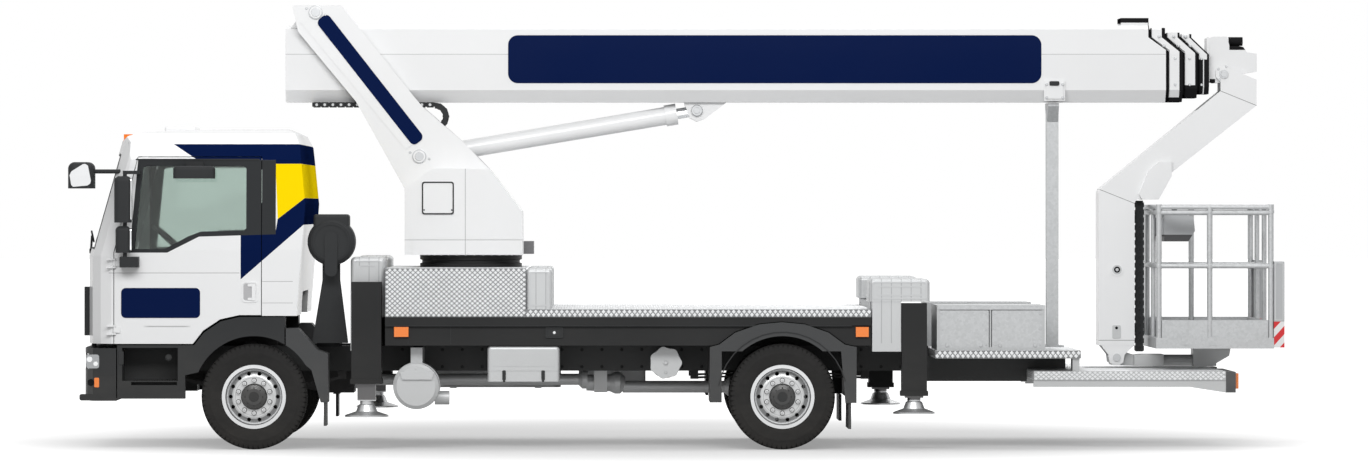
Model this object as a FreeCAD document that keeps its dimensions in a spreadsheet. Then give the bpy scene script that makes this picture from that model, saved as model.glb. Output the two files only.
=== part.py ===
import FreeCAD, Part
import math
import os
import re
import Sketcher
from FreeCAD import Placement, Rotation, Vector

# Cherry picker truck: a two-axle carrier with a tilting cab, a slewing turret,
# a telescopic boom, a cranked jib and a self-levelling basket.
# Millimetres. Front towards -X, left side at -Y, +Z up, ground at Z = 0,
# X = 0 halfway along the overall length.

doc = FreeCAD.newDocument("cherry_picker")
sheet = doc.addObject("Spreadsheet::Sheet", "dims")

SIZES = [
    # Overall
    ("half_length", 4590), ("half_width", 1275), ("body_half", 1115), ("run_gap", 6), ("seat_gap", 0.3),
    # Wheels and axles
    ("front_axle_x", -3192), ("rear_axle_x", 774), ("tyre_radius", 398), ("tyre_width", 235),
    ("wheel_y", 990), ("twin_pitch", 268), ("rim_radius", 222), ("rim_flange", 240), ("hub_radius", 100),
    ("kingpin_y", 800), ("kingpin_radius", 24), ("pin_slack", 0.06), ("stub_radius", 34),
    # Chassis frame
    ("frame_front", -4200), ("frame_rear", 1905), ("tail_rear", 2952), ("tail_low", 592), ("rail_half", 430), ("rail_flange", 80), ("rail_plate", 9),
    ("rail_low", 575), ("rail_high", 765),
    ("sub_front", -2208), ("sub_rear", 1440), ("sub_low", 782), ("sub_high", 996), ("sub_half", 1085),
    ("sub_panel", 12),
    # Deck
    ("deck_top", 1054), ("deck_edge", 996), ("deck_half", 1110), ("riser_front", -2208), ("riser_rear", -1150),
    ("riser_top", 1362), ("riser_half", 1100), ("step_rear", -955), ("deck_sheet", 6),
    ("rear_deck_front", 1920), ("rear_deck_rear", 3012), ("rear_deck_top", 745), ("rear_deck_low", 686),
    ("wing_front", 2660), ("wing_rear", 4100), ("wing_top", 590), ("wing_low", 523), ("wing_beam_low", 472),
    ("wing_cap_rear", 4175), ("wing_cap_low", 430), ("slot_half", 190), ("slot_front", 3130),
    # Slewing ring and turret
    ("slew_x", -1587), ("ring_radius", 392), ("ring_top", 1452), ("turret_low", 1458), ("turret_half", 430),
    ("turret_front", -2084), ("turret_rear", -1184), ("turret_top", 2112),
    ("fork_inner", 216), ("fork_plate", 44),
    # Boom and lift
    ("lift_x", -2770), ("lift_z", 3312), ("lift_pin", 45), ("boom_rear", -3005), ("boom_front", 3748),
    ("boom_top", 3215), ("boom_low", 2626), ("boom_half", 196), ("boom_wall", 8), ("section_step", 30),
    ("cyl_x", -1977), ("cyl_z", 2210), ("cyl_radius", 70), ("cyl_bore", 58), ("piston_rod", 42),
    ("eye_x", 149), ("eye_z", 2563), ("eye_pin", 32), ("barrel_length", 2000),
    # Jib and basket
    ("jib_x", 4190), ("jib_z", 2842), ("jib_pin", 32), ("jib_half", 130), ("jib_wall", 8), ("jib_ear", 34),
    ("foot_x", 3370), ("foot_z", 668), ("foot_pin", 30),
    ("basket_front", 3618), ("basket_rear", 4510), ("basket_half", 700), ("basket_low", 750),
    ("basket_top", 1842), ("rail_tube", 19),
    # Cab
    ("cab_half", 1110), ("cab_low", 796), ("cab_wall", 60), ("cab_tilt_x", -4450), ("cab_tilt_z", 772),
    ("door_front", -4240), ("door_rear", -3138), ("door_gap", 6), ("glass_in", 14),
    ("glass_sheet", 6), ("arch_radius", 456),
    ("hinge_x", -4236), ("hinge_y", 1114), ("hinge_pin", 6), ("hinge_boss", 11), ("tilt_pin", 11),
    ("tunnel_half", 430), ("tunnel_top", 1180),
    # Outriggers
    ("front_jack_x", -2348), ("rear_jack_x", 1764), ("rear_jack_shift", 150), ("column_deep", 165),
    ("column_wide", 224), ("leg_wide", 136), ("foot_low", 248), ("foot_radius", 165),
    ("rear_column", 188), ("rear_foot_low", 270), ("rear_foot_radius", 157),
]

for line_number, (alias, amount) in enumerate(SIZES, 1):
    sheet.set("A%d" % line_number, alias.replace("_", " "))
    sheet.set("B%d" % line_number, str(amount))
    sheet.setAlias("B%d" % line_number, alias)
doc.recompute()

ALIASES = {alias for alias, amount in SIZES}
NODES = {}


class Sizes:
    """Reads a driving dimension from the sheet."""

    def __getattr__(self, alias):
        return float(sheet.get(alias))


S = Sizes()


def bound(expression):
    """An expression with each alias written as a cell of the sheet."""
    return re.sub(r"[a-z]\w*", lambda word: ("dims." if word.group() in ALIASES else "") + word.group(),
                  str(expression))


def unique(name):
    """An unused object name that starts with name."""
    count = 1
    while doc.getObject("%s_%d" % (name, count)):
        count += 1
    return "%s_%d" % (name, count)


def tie(thing, prop, expression):
    thing.setExpression(prop, bound(expression))


def box(name, x, y, z):
    """A block between two limits along each axis."""
    block = doc.addObject("Part::Box", unique(name))
    for axis, side, (low, high) in (("x", "Length", x), ("y", "Width", y), ("z", "Height", z)):
        tie(block, side, "(%s) - (%s)" % (high, low))
        tie(block, "Placement.Base." + axis, low)
    return block


TURNS = {"X": Rotation(Vector(0, 1, 0), 90), "Y": Rotation(Vector(1, 0, 0), -90), "Z": Rotation()}
ACROSS = {"X": "yz", "Y": "xz", "Z": "xy"}


def rod(name, axis, at, span, radius):
    """A cylinder along an axis, through the point at, over span."""
    shaft = doc.addObject("Part::Cylinder", unique(name))
    shaft.Placement = Placement(Vector(), TURNS[axis])
    tie(shaft, "Placement.Base." + ACROSS[axis][0], at[0])
    tie(shaft, "Placement.Base." + ACROSS[axis][1], at[1])
    tie(shaft, "Placement.Base." + axis.lower(), span[0])
    tie(shaft, "Height", "(%s) - (%s)" % (span[1], span[0]))
    tie(shaft, "Radius", radius)
    return shaft


FLAT = {"Y": Rotation(Vector(1, 0, 0), 90), "Z": Rotation(),
        "X": Rotation(Vector(1, 1, 1), 120)}
AWAY = {"X": Vector(1, 0, 0), "Y": Vector(0, 1, 0), "Z": Vector(0, 0, 1)}


def outline(name, axis, points, level="0"):
    """A closed sketch across an axis, each corner tied to two expressions."""
    sketch = doc.addObject("Sketcher::SketchObject", unique(name + "_sketch"))
    sketch.Placement = Placement(Vector(), FLAT[axis])
    count = len(points)
    start = [Vector(100 * math.cos(2 * math.pi * k / count), 100 * math.sin(2 * math.pi * k / count), 0)
             for k in range(count)]
    for k in range(count):
        sketch.addGeometry(Part.LineSegment(start[k], start[(k + 1) % count]), False)
    for k in range(count):
        sketch.addConstraint(Sketcher.Constraint("Coincident", k, 2, (k + 1) % count, 1))
    for k, (across, up) in enumerate(points):
        for kind, guess, place in (("DistanceX", start[k].x, across), ("DistanceY", start[k].y, up)):
            index = sketch.addConstraint(Sketcher.Constraint(kind, -1, 1, k, 1, guess))
            sketch.setExpression("Constraints[%d]" % index, bound(place))
    tie(sketch, "Placement.Base." + axis.lower(), level)
    return sketch


def extrude(name, axis, profile, span):
    solid = doc.addObject("Part::Extrusion", unique(name))
    solid.Base = profile
    solid.DirMode = "Custom"
    solid.Dir = AWAY[axis]
    solid.Solid = True
    tie(solid, "LengthFwd", "(%s) - (%s)" % (span[1], span[0]))
    return solid


def slab(name, axis, points, span):
    """A flat outline across an axis, given thickness over span."""
    return extrude(name, axis, outline(name, axis, points, span[0]), span)


def grown(name, axis, points, span, amount):
    """A slab whose outline is offset outwards by amount, or inwards where it is negative."""
    offset = doc.addObject("Part::Offset2D", unique(name + "_offset"))
    offset.Source = outline(name, axis, points, span[0])
    offset.Join = "Intersection"
    tie(offset, "Value", amount)
    return extrude(name, axis, offset, span)


def turned(name, axis, at, points):
    """A solid of revolution about an axis through at; points are (along, radius)."""
    start = {"X": "x", "Y": "y", "Z": "z"}[axis]
    place = dict(zip(ACROSS[axis], at))
    place[start] = "0"
    order = {"X": lambda a, r: (a, r), "Y": lambda a, r: (r, a), "Z": lambda a, r: (r, a)}[axis]
    flat = {"X": "Z", "Y": "Z", "Z": "Y"}[axis]
    sketch = outline(name, flat, [order(along, radius) for along, radius in points])
    for letter in "xyz":
        tie(sketch, "Placement.Base." + letter, place[letter])
    solid = doc.addObject("Part::Revolution", unique(name))
    solid.Source = sketch
    solid.Axis = AWAY[axis]
    for letter in "xyz":
        tie(solid, "Base." + letter, place[letter])
    solid.Angle = 360
    solid.Solid = True
    return solid


def join(name, *parts):
    whole = doc.addObject("Part::MultiFuse", unique(name))
    whole.Shapes = list(parts)
    return whole


def common(name, *parts):
    whole = doc.addObject("Part::MultiCommon", unique(name))
    whole.Shapes = list(parts)
    return whole


def cut(name, base, *tools):
    whole = doc.addObject("Part::Cut", unique(name))
    whole.Base = base
    whole.Tool = tools[0] if len(tools) == 1 else join(name + "_tool", *tools)
    return whole


def group(name, *parts):
    """Like pieces of one body that don't touch, or only meet face to face."""
    whole = doc.addObject("Part::Compound", unique(name))
    whole.Links = list(parts)
    return whole


def flip(name, part):
    """The same piece on the other side."""
    mirrored = doc.addObject("Part::Mirroring", unique(name))
    mirrored.Source = part
    mirrored.Normal = AWAY["Y"]
    return mirrored


def both(name, part):
    return group(name, part, flip(name, part))


def node(label, part):
    """Names the finished piece that is written to a file."""
    part.Label = label
    NODES[label] = part
    return part


def turned_y(name, x, z, points):
    return turned(name, "Y", (x, z), points)


# Wheels

def tyre(name, x, inner, outer):
    """One tyre between two planes across Y, with rounded shoulders."""
    third = "((%s) - (%s))/3" % (outer, inner)
    return turned_y(name, x, "tyre_radius", [
        (inner + " + 14 + seat_gap", "rim_flange - 14"), (inner + " + 14 + seat_gap", "rim_flange + seat_gap"),
        (inner + " + 2", "tyre_radius*0.72"),
        (inner + " + 10", "tyre_radius - 34"), (inner + " + 30", "tyre_radius - 8"),
        ("(%s) + %s" % (inner, third), "tyre_radius"), ("(%s) - %s" % (outer, third), "tyre_radius"),
        (outer + " - 30", "tyre_radius - 8"), (outer + " - 10", "tyre_radius - 34"),
        (outer + " - 2", "tyre_radius*0.72"), (outer + " - 14 - seat_gap", "rim_flange + seat_gap"),
        (outer + " - 14 - seat_gap", "rim_flange - 14")])


def front_rim(x):
    """A left front rim with its disc, hub and nut circle; outwards is -Y."""
    disc = turned_y("rim", x, "tyre_radius", [
        ("-wheel_y + tyre_width/2 - 14", "rim_flange - 14.3"), ("-wheel_y + tyre_width/2 - 14", "rim_flange"),
        ("-wheel_y + tyre_width/2", "rim_flange"), ("-wheel_y + tyre_width/2", "rim_radius - 14"),
        ("-wheel_y + 30", "rim_radius - 26"), ("-wheel_y - 40", "rim_radius - 30"),
        ("-wheel_y - 62", "150"), ("-wheel_y - 62", "60"), ("-wheel_y - 74", "60"), ("-wheel_y - 74", "154"),
        ("-wheel_y - 56", "rim_radius - 20"),
        ("-wheel_y - tyre_width/2", "rim_radius - 8"), ("-wheel_y - tyre_width/2", "rim_flange"),
        ("-wheel_y - tyre_width/2 + 14", "rim_flange"), ("-wheel_y - tyre_width/2 + 14", "rim_flange - 14.3")])
    return disc


def hand_holes(name, x, count):
    holes = []
    for k in range(count):
        turn = 2 * math.pi * k / count
        holes.append(rod(name, "Y", ("%s + 176*%.6f" % (x, math.cos(turn)),
                                     "tyre_radius + 176*%.6f" % math.sin(turn)),
                         ("-wheel_y - 90", "-wheel_y - 30"), "15"))
    return holes


def nuts(name, x, count):
    studs = []
    for k in range(count):
        turn = 2 * math.pi * (k + 0.5) / count
        studs.append(rod(name, "Y", ("%s + 123*%.6f" % (x, math.cos(turn)),
                                     "tyre_radius + 123*%.6f" % math.sin(turn)),
                         ("-wheel_y - 98", "-wheel_y - 73"), "14"))
    return studs


def wheel_centre(name, x):
    """Hub, hub cap and nuts of a left wheel."""
    hub = turned_y(name, x, "tyre_radius", [
        ("-wheel_y - 30", "stub_radius + pin_slack"), ("-wheel_y - 30", "hub_radius + 14"),
        ("-wheel_y - 62", "hub_radius + 14"), ("-wheel_y - 62", "hub_radius - 6"),
        ("-wheel_y - 108", "hub_radius - 12"), ("-wheel_y - 116", "hub_radius - 40"), ("-wheel_y - 116", "0"),
        ("-wheel_y - 60", "0"), ("-wheel_y - 60", "stub_radius + pin_slack")])
    return join(name, hub, *nuts(name + "_nut", x, 10))


FRONT, REAR = "front_axle_x", "rear_axle_x"
tyre_front = tyre("tyre_front", FRONT, "-wheel_y - tyre_width/2", "-wheel_y + tyre_width/2")
tyres_rear = group("tyres_rear", tyre("tyre_outer", REAR, "-wheel_y - tyre_width/2", "-wheel_y + tyre_width/2"),
                   tyre("tyre_inner", REAR, "-wheel_y - tyre_width/2 + twin_pitch",
                        "-wheel_y + tyre_width/2 + twin_pitch"))
rim_front = join("rim_front", cut("rim_disc_front", front_rim(FRONT), *hand_holes("hand_hole_front", FRONT, 14)),
                 wheel_centre("hub_front", FRONT))
rim_inner = turned_y("rim_inner", REAR, "tyre_radius", [
    ("-wheel_y + tyre_width/2 + twin_pitch - 14", "rim_flange - 14.3"),
    ("-wheel_y + tyre_width/2 + twin_pitch - 14", "rim_flange"),
    ("-wheel_y + tyre_width/2 + twin_pitch", "rim_flange"),
    ("-wheel_y + tyre_width/2 + twin_pitch", "rim_radius - 14"),
    ("-wheel_y + tyre_width/2", "rim_radius - 20"), ("-wheel_y + tyre_width/2", "rim_flange"),
    ("-wheel_y - tyre_width/2 + twin_pitch", "rim_flange"),
    ("-wheel_y - tyre_width/2 + twin_pitch + 14", "rim_flange - 14.3")])
rim_rear = join("rim_rear", cut("rim_disc_rear", front_rim(REAR), *hand_holes("hand_hole_rear", REAR, 14)),
                rim_inner, wheel_centre("hub_rear", REAR))
node("tyre_front_left", tyre_front)
node("tyre_front_right", flip("tyre_front_right", tyre_front))
node("tyres_rear_left", tyres_rear)
node("tyres_rear_right", flip("tyres_rear_right", tyres_rear))
node("rim_front_left", rim_front)
node("rim_front_right", flip("rim_front_right", rim_front))
node("rims_rear_left", rim_rear)
node("rims_rear_right", flip("rims_rear_right", rim_rear))


# Axles, knuckles and driveline

def knuckle():
    """Left steering knuckle: kingpin bosses above and below the axle eye, and the stub axle."""
    upright = box("knuckle", ("front_axle_x - 45", "front_axle_x + 45"), ("-kingpin_y - 80", "-kingpin_y + 40"),
                  ("tyre_radius - 120", "tyre_radius + 120"))
    gap = box("knuckle_gap", ("front_axle_x - 60", "front_axle_x + 60"), ("-kingpin_y - 64", "-kingpin_y + 60"),
              ("tyre_radius - 84", "tyre_radius + 84"))
    stub = rod("stub", "Y", ("front_axle_x", "tyre_radius"), ("-wheel_y - 59", "-kingpin_y - 70"), "stub_radius")
    pin = rod("kingpin", "Z", ("front_axle_x", "-kingpin_y"), ("tyre_radius - 130", "tyre_radius + 130"),
              "kingpin_radius")
    drum = turned_y("brake_drum", "front_axle_x", "tyre_radius", [
        ("-wheel_y + 36", "stub_radius - 4"), ("-wheel_y + 36", "150"), ("-kingpin_y - 66", "150"),
        ("-kingpin_y - 66", "stub_radius - 4")])
    arm = box("steering_arm", ("front_axle_x + 40", "front_axle_x + 190"), ("-kingpin_y + 2", "-kingpin_y + 38"),
              ("tyre_radius - 118", "tyre_radius - 90"))
    return join("knuckle_whole", cut("knuckle_fork", upright, gap), stub, pin, drum, arm)


knuckle_left = node("knuckle_left", knuckle())
node("knuckle_right", flip("knuckle_right", knuckle_left))

beam = slab("axle_beam", "X", [
    ("-kingpin_y - 40", "tyre_radius - 74"), ("-kingpin_y + 40", "tyre_radius - 74"), ("-500", "280"),
    ("500", "280"), ("kingpin_y - 40", "tyre_radius - 74"), ("kingpin_y + 40", "tyre_radius - 74"),
    ("kingpin_y + 40", "tyre_radius + 74"), ("kingpin_y - 60", "tyre_radius + 74"), ("480", "380"),
    ("-480", "380"), ("-kingpin_y + 60", "tyre_radius + 74"), ("-kingpin_y - 40", "tyre_radius + 74")],
    ("front_axle_x - 42", "front_axle_x + 42"))
eyes = [rod("kingpin_eye", "Z", ("front_axle_x", side + "kingpin_y"), ("tyre_radius - 90", "tyre_radius + 90"),
            "kingpin_radius + pin_slack") for side in ("-", "")]
front_beam = cut("front_beam", beam, *eyes)
rear_tube = turned_y("rear_tube", REAR, "tyre_radius", [
    ("-wheel_y - 59", "0"), ("-wheel_y - 59", "stub_radius"), ("-570", "stub_radius"), ("-560", "85"),
    ("-250", "85"), ("-150", "190"), ("150", "190"), ("250", "85"), ("560", "85"), ("570", "stub_radius"),
    ("wheel_y + 59", "stub_radius"), ("wheel_y + 59", "0")])
diff_nose = rod("diff_nose", "X", ("0", "tyre_radius"), ("rear_axle_x - 330", "rear_axle_x - 100"), "110")
rear_axle = join("rear_axle", rear_tube, diff_nose)


def leaf_spring(name, x, low, half_span):
    """A stack of leaves on its axle, with its two hangers to the rail."""
    leaves = slab(name, "Y", [
        (x + " - %d" % half_span, "rail_low - 60"), (x + " - %d" % (half_span // 2), low + " + 44"),
        (x + " - 110", low), (x + " + 110", low), (x + " + %d" % (half_span // 2), low + " + 44"),
        (x + " + %d" % half_span, "rail_low - 60"), (x + " + %d" % half_span, "rail_low - 44"),
        (x + " + 110", low + " + 60"), (x + " - 110", low + " + 60"), (x + " - %d" % half_span, "rail_low - 44")],
        ("-rail_half - 5", "-rail_half + 65"))
    hangers = [box(name + "_hanger", (x + " %s" % near, x + " %s" % far), ("-rail_half - 5", "-rail_half + 65"),
                   ("rail_low - 62", "rail_low - seat_gap"))
               for near, far in (("- %d" % (half_span + 40), "- %d" % (half_span - 20)),
                                 ("+ %d" % (half_span - 20), "+ %d" % (half_span + 40)))]
    return join(name, leaves, *hangers)


front_spring = leaf_spring("front_spring", FRONT, "380.3", 620)
rear_spring = leaf_spring("rear_spring", REAR, "483.3", 640)
springs = both("springs", group("springs_left", front_spring, rear_spring))
shaft_one = turned("shaft_one", "X", ("0", "497"), [
    ("-2480", "0"), ("-2480", "70"), ("-2380", "70"), ("-2330", "44"), ("-760", "44"), ("-730", "72"),
    ("-690", "72"), ("-690", "0")])
bearing = box("centre_bearing", ("-640", "-540"), ("-90", "90"), ("400", "tail_low - seat_gap"))
yoke = turned("middle_yoke", "X", ("0", "470"), [
    ("-700", "0"), ("-700", "60"), ("-600", "66"), ("-520", "66"), ("-480", "84"), ("-440", "84"), ("-400", "46"),
    ("-400", "0")])
shaft_two = turned("shaft_two", "X", ("0", "440"), [
    ("-420", "0"), ("-420", "46"), ("360", "46"), ("400", "76"), ("443.7", "76"), ("443.7", "0")])
driveline = join("driveline", shaft_one, bearing, yoke, shaft_two)
node("driveline", driveline)
node("axles", group("axles_all", front_beam, rear_axle, springs))
engine = box("engine", ("-3980", "-3060"), ("-330", "330"), ("490", "1150"))
gearbox = slab("gearbox", "Y", [("-3060.5", "480"), ("-2700", "400"), ("-2480.3", "400"), ("-2480.3", "600"),
                                ("-2700", "700"), ("-3060.5", "840")], ("-190", "190"))
mounts = [box("engine_mount", (place, place + " + 90"), (low, high), ("rail_high + seat_gap", "800"))
          for place in ("-3820", "-3300") for low, high in (("-422", "-329"), ("329", "422"))]
node("engine", join("engine_and_gearbox", engine, gearbox, *mounts))


# Chassis frame and subframe

def rail(side):
    outer = box("rail", ("frame_front", "frame_rear"), ("-rail_half", "-rail_half + rail_flange"),
                ("rail_low", "rail_high"))
    hollow = box("rail_hollow", ("frame_front - 1", "frame_rear + 1"),
                 ("-rail_half + rail_plate", "-rail_half + rail_flange + 1"),
                 ("rail_low + rail_plate", "rail_high - rail_plate"))
    channel = cut("channel", outer, hollow)
    return channel if side < 0 else flip("channel_right", channel)


CROSS_MEMBERS = ("-4140", "-2440", "-1100", "-600", "330", "1250", "1800")
members = [box("cross_member", (place, place + " + 60"), ("-rail_half + rail_plate", "rail_half - rail_plate"),
               ("rail_low + rail_plate + 8", "rail_high - rail_plate - 8")) for place in CROSS_MEMBERS]
tail = [box("tail_beam", ("frame_rear - 100", "tail_rear"), (low, high), ("tail_low", "rear_deck_low - seat_gap"))
        for low, high in (("-rail_half", "-rail_half + 70"), ("rail_half - 70", "rail_half"))]
tail += [box("tail_member", (place, place + " + 60"), ("-rail_half + 60", "rail_half - 60"),
             ("tail_low", "rear_deck_low - seat_gap")) for place in ("2300", "2892")]
tail.append(box("tail_box", ("frame_rear - 25", "2660"), ("-400", "400"), ("495", "tail_low + 8")))
node("chassis_frame", join("chassis_frame", rail(-1), rail(1), *members, *tail))

side_panel = slab("side_panel", "Y", [
    ("sub_front", "sub_low"), ("sub_rear", "sub_low"), ("sub_rear", "sub_high"), ("sub_front", "sub_high")],
    ("-sub_half", "-sub_half + sub_panel"))
lip = box("side_lip", ("sub_front", "sub_rear"), ("-sub_half - 22", "-sub_half + 1"), ("sub_high - 62", "sub_high"))
GUARD = [("230", "356"), ("318", "356"), ("318", "740"), ("rear_axle_x + 440", "740"), ("1246", "352"),
         ("1330", "352"), ("1330", "772"), ("1242", "790"), ("1120", "880"), ("940", "942"), ("770", "958"),
         ("600", "942"), ("420", "880"), ("300", "790"), ("230", "772")]
guard_room = slab("guard_room", "Y", [
    ("224", "700"), ("1336", "700"), ("1336", "776"), ("1246", "796"), ("1123", "886"), ("941", "948"),
    ("770", "964"), ("599", "948"), ("417", "886"), ("296", "796"), ("224", "776")], ("-1200", "-1000"))
side_left = cut("side_left", join("side_and_lip", side_panel, lip), guard_room)
sub_floor = box("sub_floor", ("sub_front", "sub_rear"), ("-rail_half - 1", "rail_half + 1"),
                ("rail_high + seat_gap", "sub_low + 90"))
outriggers_front = box("jack_tunnel", ("front_jack_x - 105", "front_jack_x + 105"), ("-930", "930"),
                       ("rail_high + seat_gap", "sub_high"))
tunnel_front = box("tunnel_hole", ("front_jack_x - 76", "front_jack_x + 76"), ("-931", "931"),
                   ("sub_low + 12", "sub_high - 22"))
outriggers_rear = box("jack_tunnel_rear", ("rear_jack_x - rear_jack_shift - 80", "rear_jack_x + 80"),
                      ("-930", "930"), ("rail_high + seat_gap", "sub_high"))
tunnel_rear = box("tunnel_hole_rear", ("rear_jack_x - rear_jack_shift - 68", "rear_jack_x + 68"),
                  ("-931", "931"), ("sub_low + 12", "sub_high - 22"))
beam_pads = []
for place in ("front_jack_x", "rear_jack_x", "rear_jack_x - rear_jack_shift"):
    for low, high in (("-926", "-860"), ("860", "926")):
        if place == "rear_jack_x" and low == "860" or place == "rear_jack_x - rear_jack_shift" and low == "-926":
            continue
        beam_pads.append(box("beam_pad", (place + " - 56", place + " + 56"), (low, high),
                             ("sub_low + 11", "sub_low + 22 - seat_gap")))
        beam_pads.append(box("beam_pad", (place + " - 56", place + " + 56"), (low, high),
                             ("sub_high - 32 + seat_gap", "sub_high - 21")))
spine = box("spine", ("front_jack_x + 100", "rear_jack_x - rear_jack_shift - 70"), ("-330", "330"),
            ("rail_high + seat_gap", "sub_high"))
brackets = [box("sub_bracket", (place, place + " + 40"), ("-sub_half + 2", "sub_half - 2"),
                ("sub_low + 20", "sub_high")) for place in ("-2190", "-1500", "-700", "100", "1380")]
node("subframe", join("subframe", cut("sub_box", join("sub_solid", outriggers_front, outriggers_rear, spine, sub_floor),
                                      tunnel_front, tunnel_rear),
                      side_left, flip("side_right", side_left), *brackets,
                      *beam_pads))


# Deck, platform and boom rest

def tray(name, x, half, z):
    """A folded sheet: a top with edges turned down."""
    block = box(name, x, ("-(%s)" % half, half), z)
    hollow = box(name + "_hollow", (x[0] + " + deck_sheet", x[1] + " - deck_sheet"),
                 ("-(%s) + deck_sheet" % half, "%s - deck_sheet" % half), (z[0] + " - 1", z[1] + " - deck_sheet"))
    return cut(name + "_tray", block, hollow)


riser = tray("riser", ("riser_front", "riser_rear"), "riser_half", ("sub_high + seat_gap", "riser_top"))
main_deck = tray("main_deck", ("riser_rear - 1", "sub_rear"), "deck_half", ("deck_edge + seat_gap", "deck_top"))
rear_deck = tray("rear_deck", ("rear_deck_front", "rear_deck_rear"), "deck_half", ("rear_deck_low", "rear_deck_top"))
node("deck_plates", group("deck_plates", join("front_decks", riser, main_deck), rear_deck))


def wing(name):
    """The left half of the low rear platform: plate, side beam and end cap."""
    plate = box(name, ("wing_front", "wing_rear"), ("-deck_half", "-slot_half"), ("wing_low", "wing_top"))
    hollow = box(name + "_hollow", ("wing_front + 6", "wing_rear - 6"), ("-deck_half + 6", "-slot_half - 6"),
                 ("wing_low - 1", "wing_top - 6"))
    side = slab(name + "_beam", "Y", [
        ("wing_front", "wing_beam_low"), ("wing_rear - 270", "wing_beam_low"), ("wing_rear", "wing_cap_low"),
        ("wing_rear", "wing_low + 1"), ("wing_front", "wing_low + 1")], ("-deck_half + 10", "-deck_half + 60"))
    inner = slab(name + "_inner_beam", "Y", [
        ("wing_front", "wing_beam_low"), ("wing_rear - 270", "wing_beam_low"), ("wing_rear", "wing_beam_low"),
        ("wing_rear", "wing_low + 1"), ("wing_front", "wing_low + 1")], ("-slot_half - 60", "-slot_half - 8"))
    cap = box(name + "_cap", ("wing_rear - 1", "wing_cap_rear"), ("-deck_half + 4", "-slot_half - 4"),
              ("wing_cap_low", "wing_top - 4"))
    return join(name + "_whole", cut(name + "_tray", plate, hollow), side, inner, cap)


left_wing = wing("wing")
bridge = box("wing_bridge", ("wing_front", "slot_front"), ("-slot_half - 7", "slot_half + 7"), ("wing_low", "wing_top"))
hanger = [box("wing_hanger", ("2700", "2950"), (low, high), ("wing_top - 10", "tail_low - seat_gap"))
          for low, high in (("-rail_half + 10", "-rail_half + 70"), ("rail_half - 70", "rail_half - 10"))]
steps = [box("rear_step", ("2952", "rear_deck_rear - 8"), (low, high), ("wing_top - 2", "rear_deck_low - seat_gap"))
         for low, high in (("-deck_half + 20", "-deck_half + 180"), ("deck_half - 180", "deck_half - 20"))]
node("rear_platform", join("rear_platform", left_wing, flip("wing_right", left_wing), bridge, *hanger, *steps))

rest_post = box("rest_post", ("2838", "2930"), ("-50", "50"), ("rear_deck_top + 0.3", "boom_low - 46"))
rest_foot = box("rest_foot", ("2800", "2968"), ("-110", "110"), ("rear_deck_top + 0.3", "rear_deck_top + 16"))
rest_head = slab("rest_head", "X", [("-50", "boom_low - 150"), ("50", "boom_low - 150"), ("150", "boom_low - 30"),
                                    ("150", "boom_low - 6"), ("-150", "boom_low - 6"), ("-150", "boom_low - 30")],
                 ("2842", "2926"))
node("boom_rest", join("boom_rest", rest_post, rest_foot, rest_head))


# Silver covers, lockers and boxes

def cover(name, x, y, z, round_size):
    """A pressed cover with rounded upright and top edges, as a closed housing."""
    block = box(name, x, y, z)
    doc.recompute()
    rounded = doc.addObject("Part::Fillet", unique(name + "_round"))
    rounded.Base = block
    bottom = block.Shape.BoundBox.ZMin
    rounded.Edges = [(index, round_size, round_size) for index, edge in enumerate(block.Shape.Edges, 1)
                     if edge.BoundBox.ZMin > bottom + 1 or edge.BoundBox.ZLength > 1]
    return rounded


front_cover = cover("front_cover", ("-2475", "-2214"), ("-930", "-560"), ("sub_high + 0.3", "1446"), 36)
front_side = box("front_side_cover", ("-2475", "-2462"), ("-930", "-560"), ("740", "sub_high + 200"))
step_box = cover("step_box", ("riser_rear + 0.3", "step_rear"), ("-riser_half + 5", "-420"), ("deck_top + seat_gap", "riser_top"), 30)
rear_cover = cover("rear_cover", ("1424", "1880"), ("-1112", "-640"), ("1112", "1284"), 34)
rear_pad = box("rear_cover_pad", ("1440", "1664"), ("-935", "-660"), ("sub_high + 0.3", "1113"))
rear_side = box("rear_side_cover", ("1448", "1664"), ("-1108", "-934"), ("738", "1113"))
far_side = box("far_side_cover", ("1448", "1512"), ("934", "1108"), ("738", "1113"))
toolbox = join("toolbox_whole", cover("toolbox", ("-1440", "-898"), ("-1080", "-480"), ("512", "sub_low - seat_gap"), 30),
               box("toolbox_bracket", ("-1320", "-1020"), ("-482", "-rail_half - seat_gap"), ("600", "700")))
lockers = box("locker", ("1936", "2748"), ("-deck_half + 60", "-330"), ("rear_deck_top + 0.3", "1084"))
locker_space = box("locker_space", ("1960", "2724"), ("-deck_half + 59", "-354"), ("rear_deck_top + 24", "1050"))
locker_left = cut("locker_left", lockers, locker_space)
locker_rib = box("locker_rib", ("2332", "2344"), ("-deck_half + 60", "-340"), ("rear_deck_top + 20", "1056"))
locker_body = join("locker_body", locker_left, locker_rib)
rear_block = join("rear_block", rear_cover, rear_pad)
covers_left = group("covers_left", join("front_covers", front_cover, front_side), step_box, locker_body)
node("lockers", group("lockers", covers_left, flip("covers_right", covers_left), toolbox,
                      join("rear_covers", rear_block, rear_side),
                      join("rear_covers_far", flip("rear_block_far", rear_block), far_side)))

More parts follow.
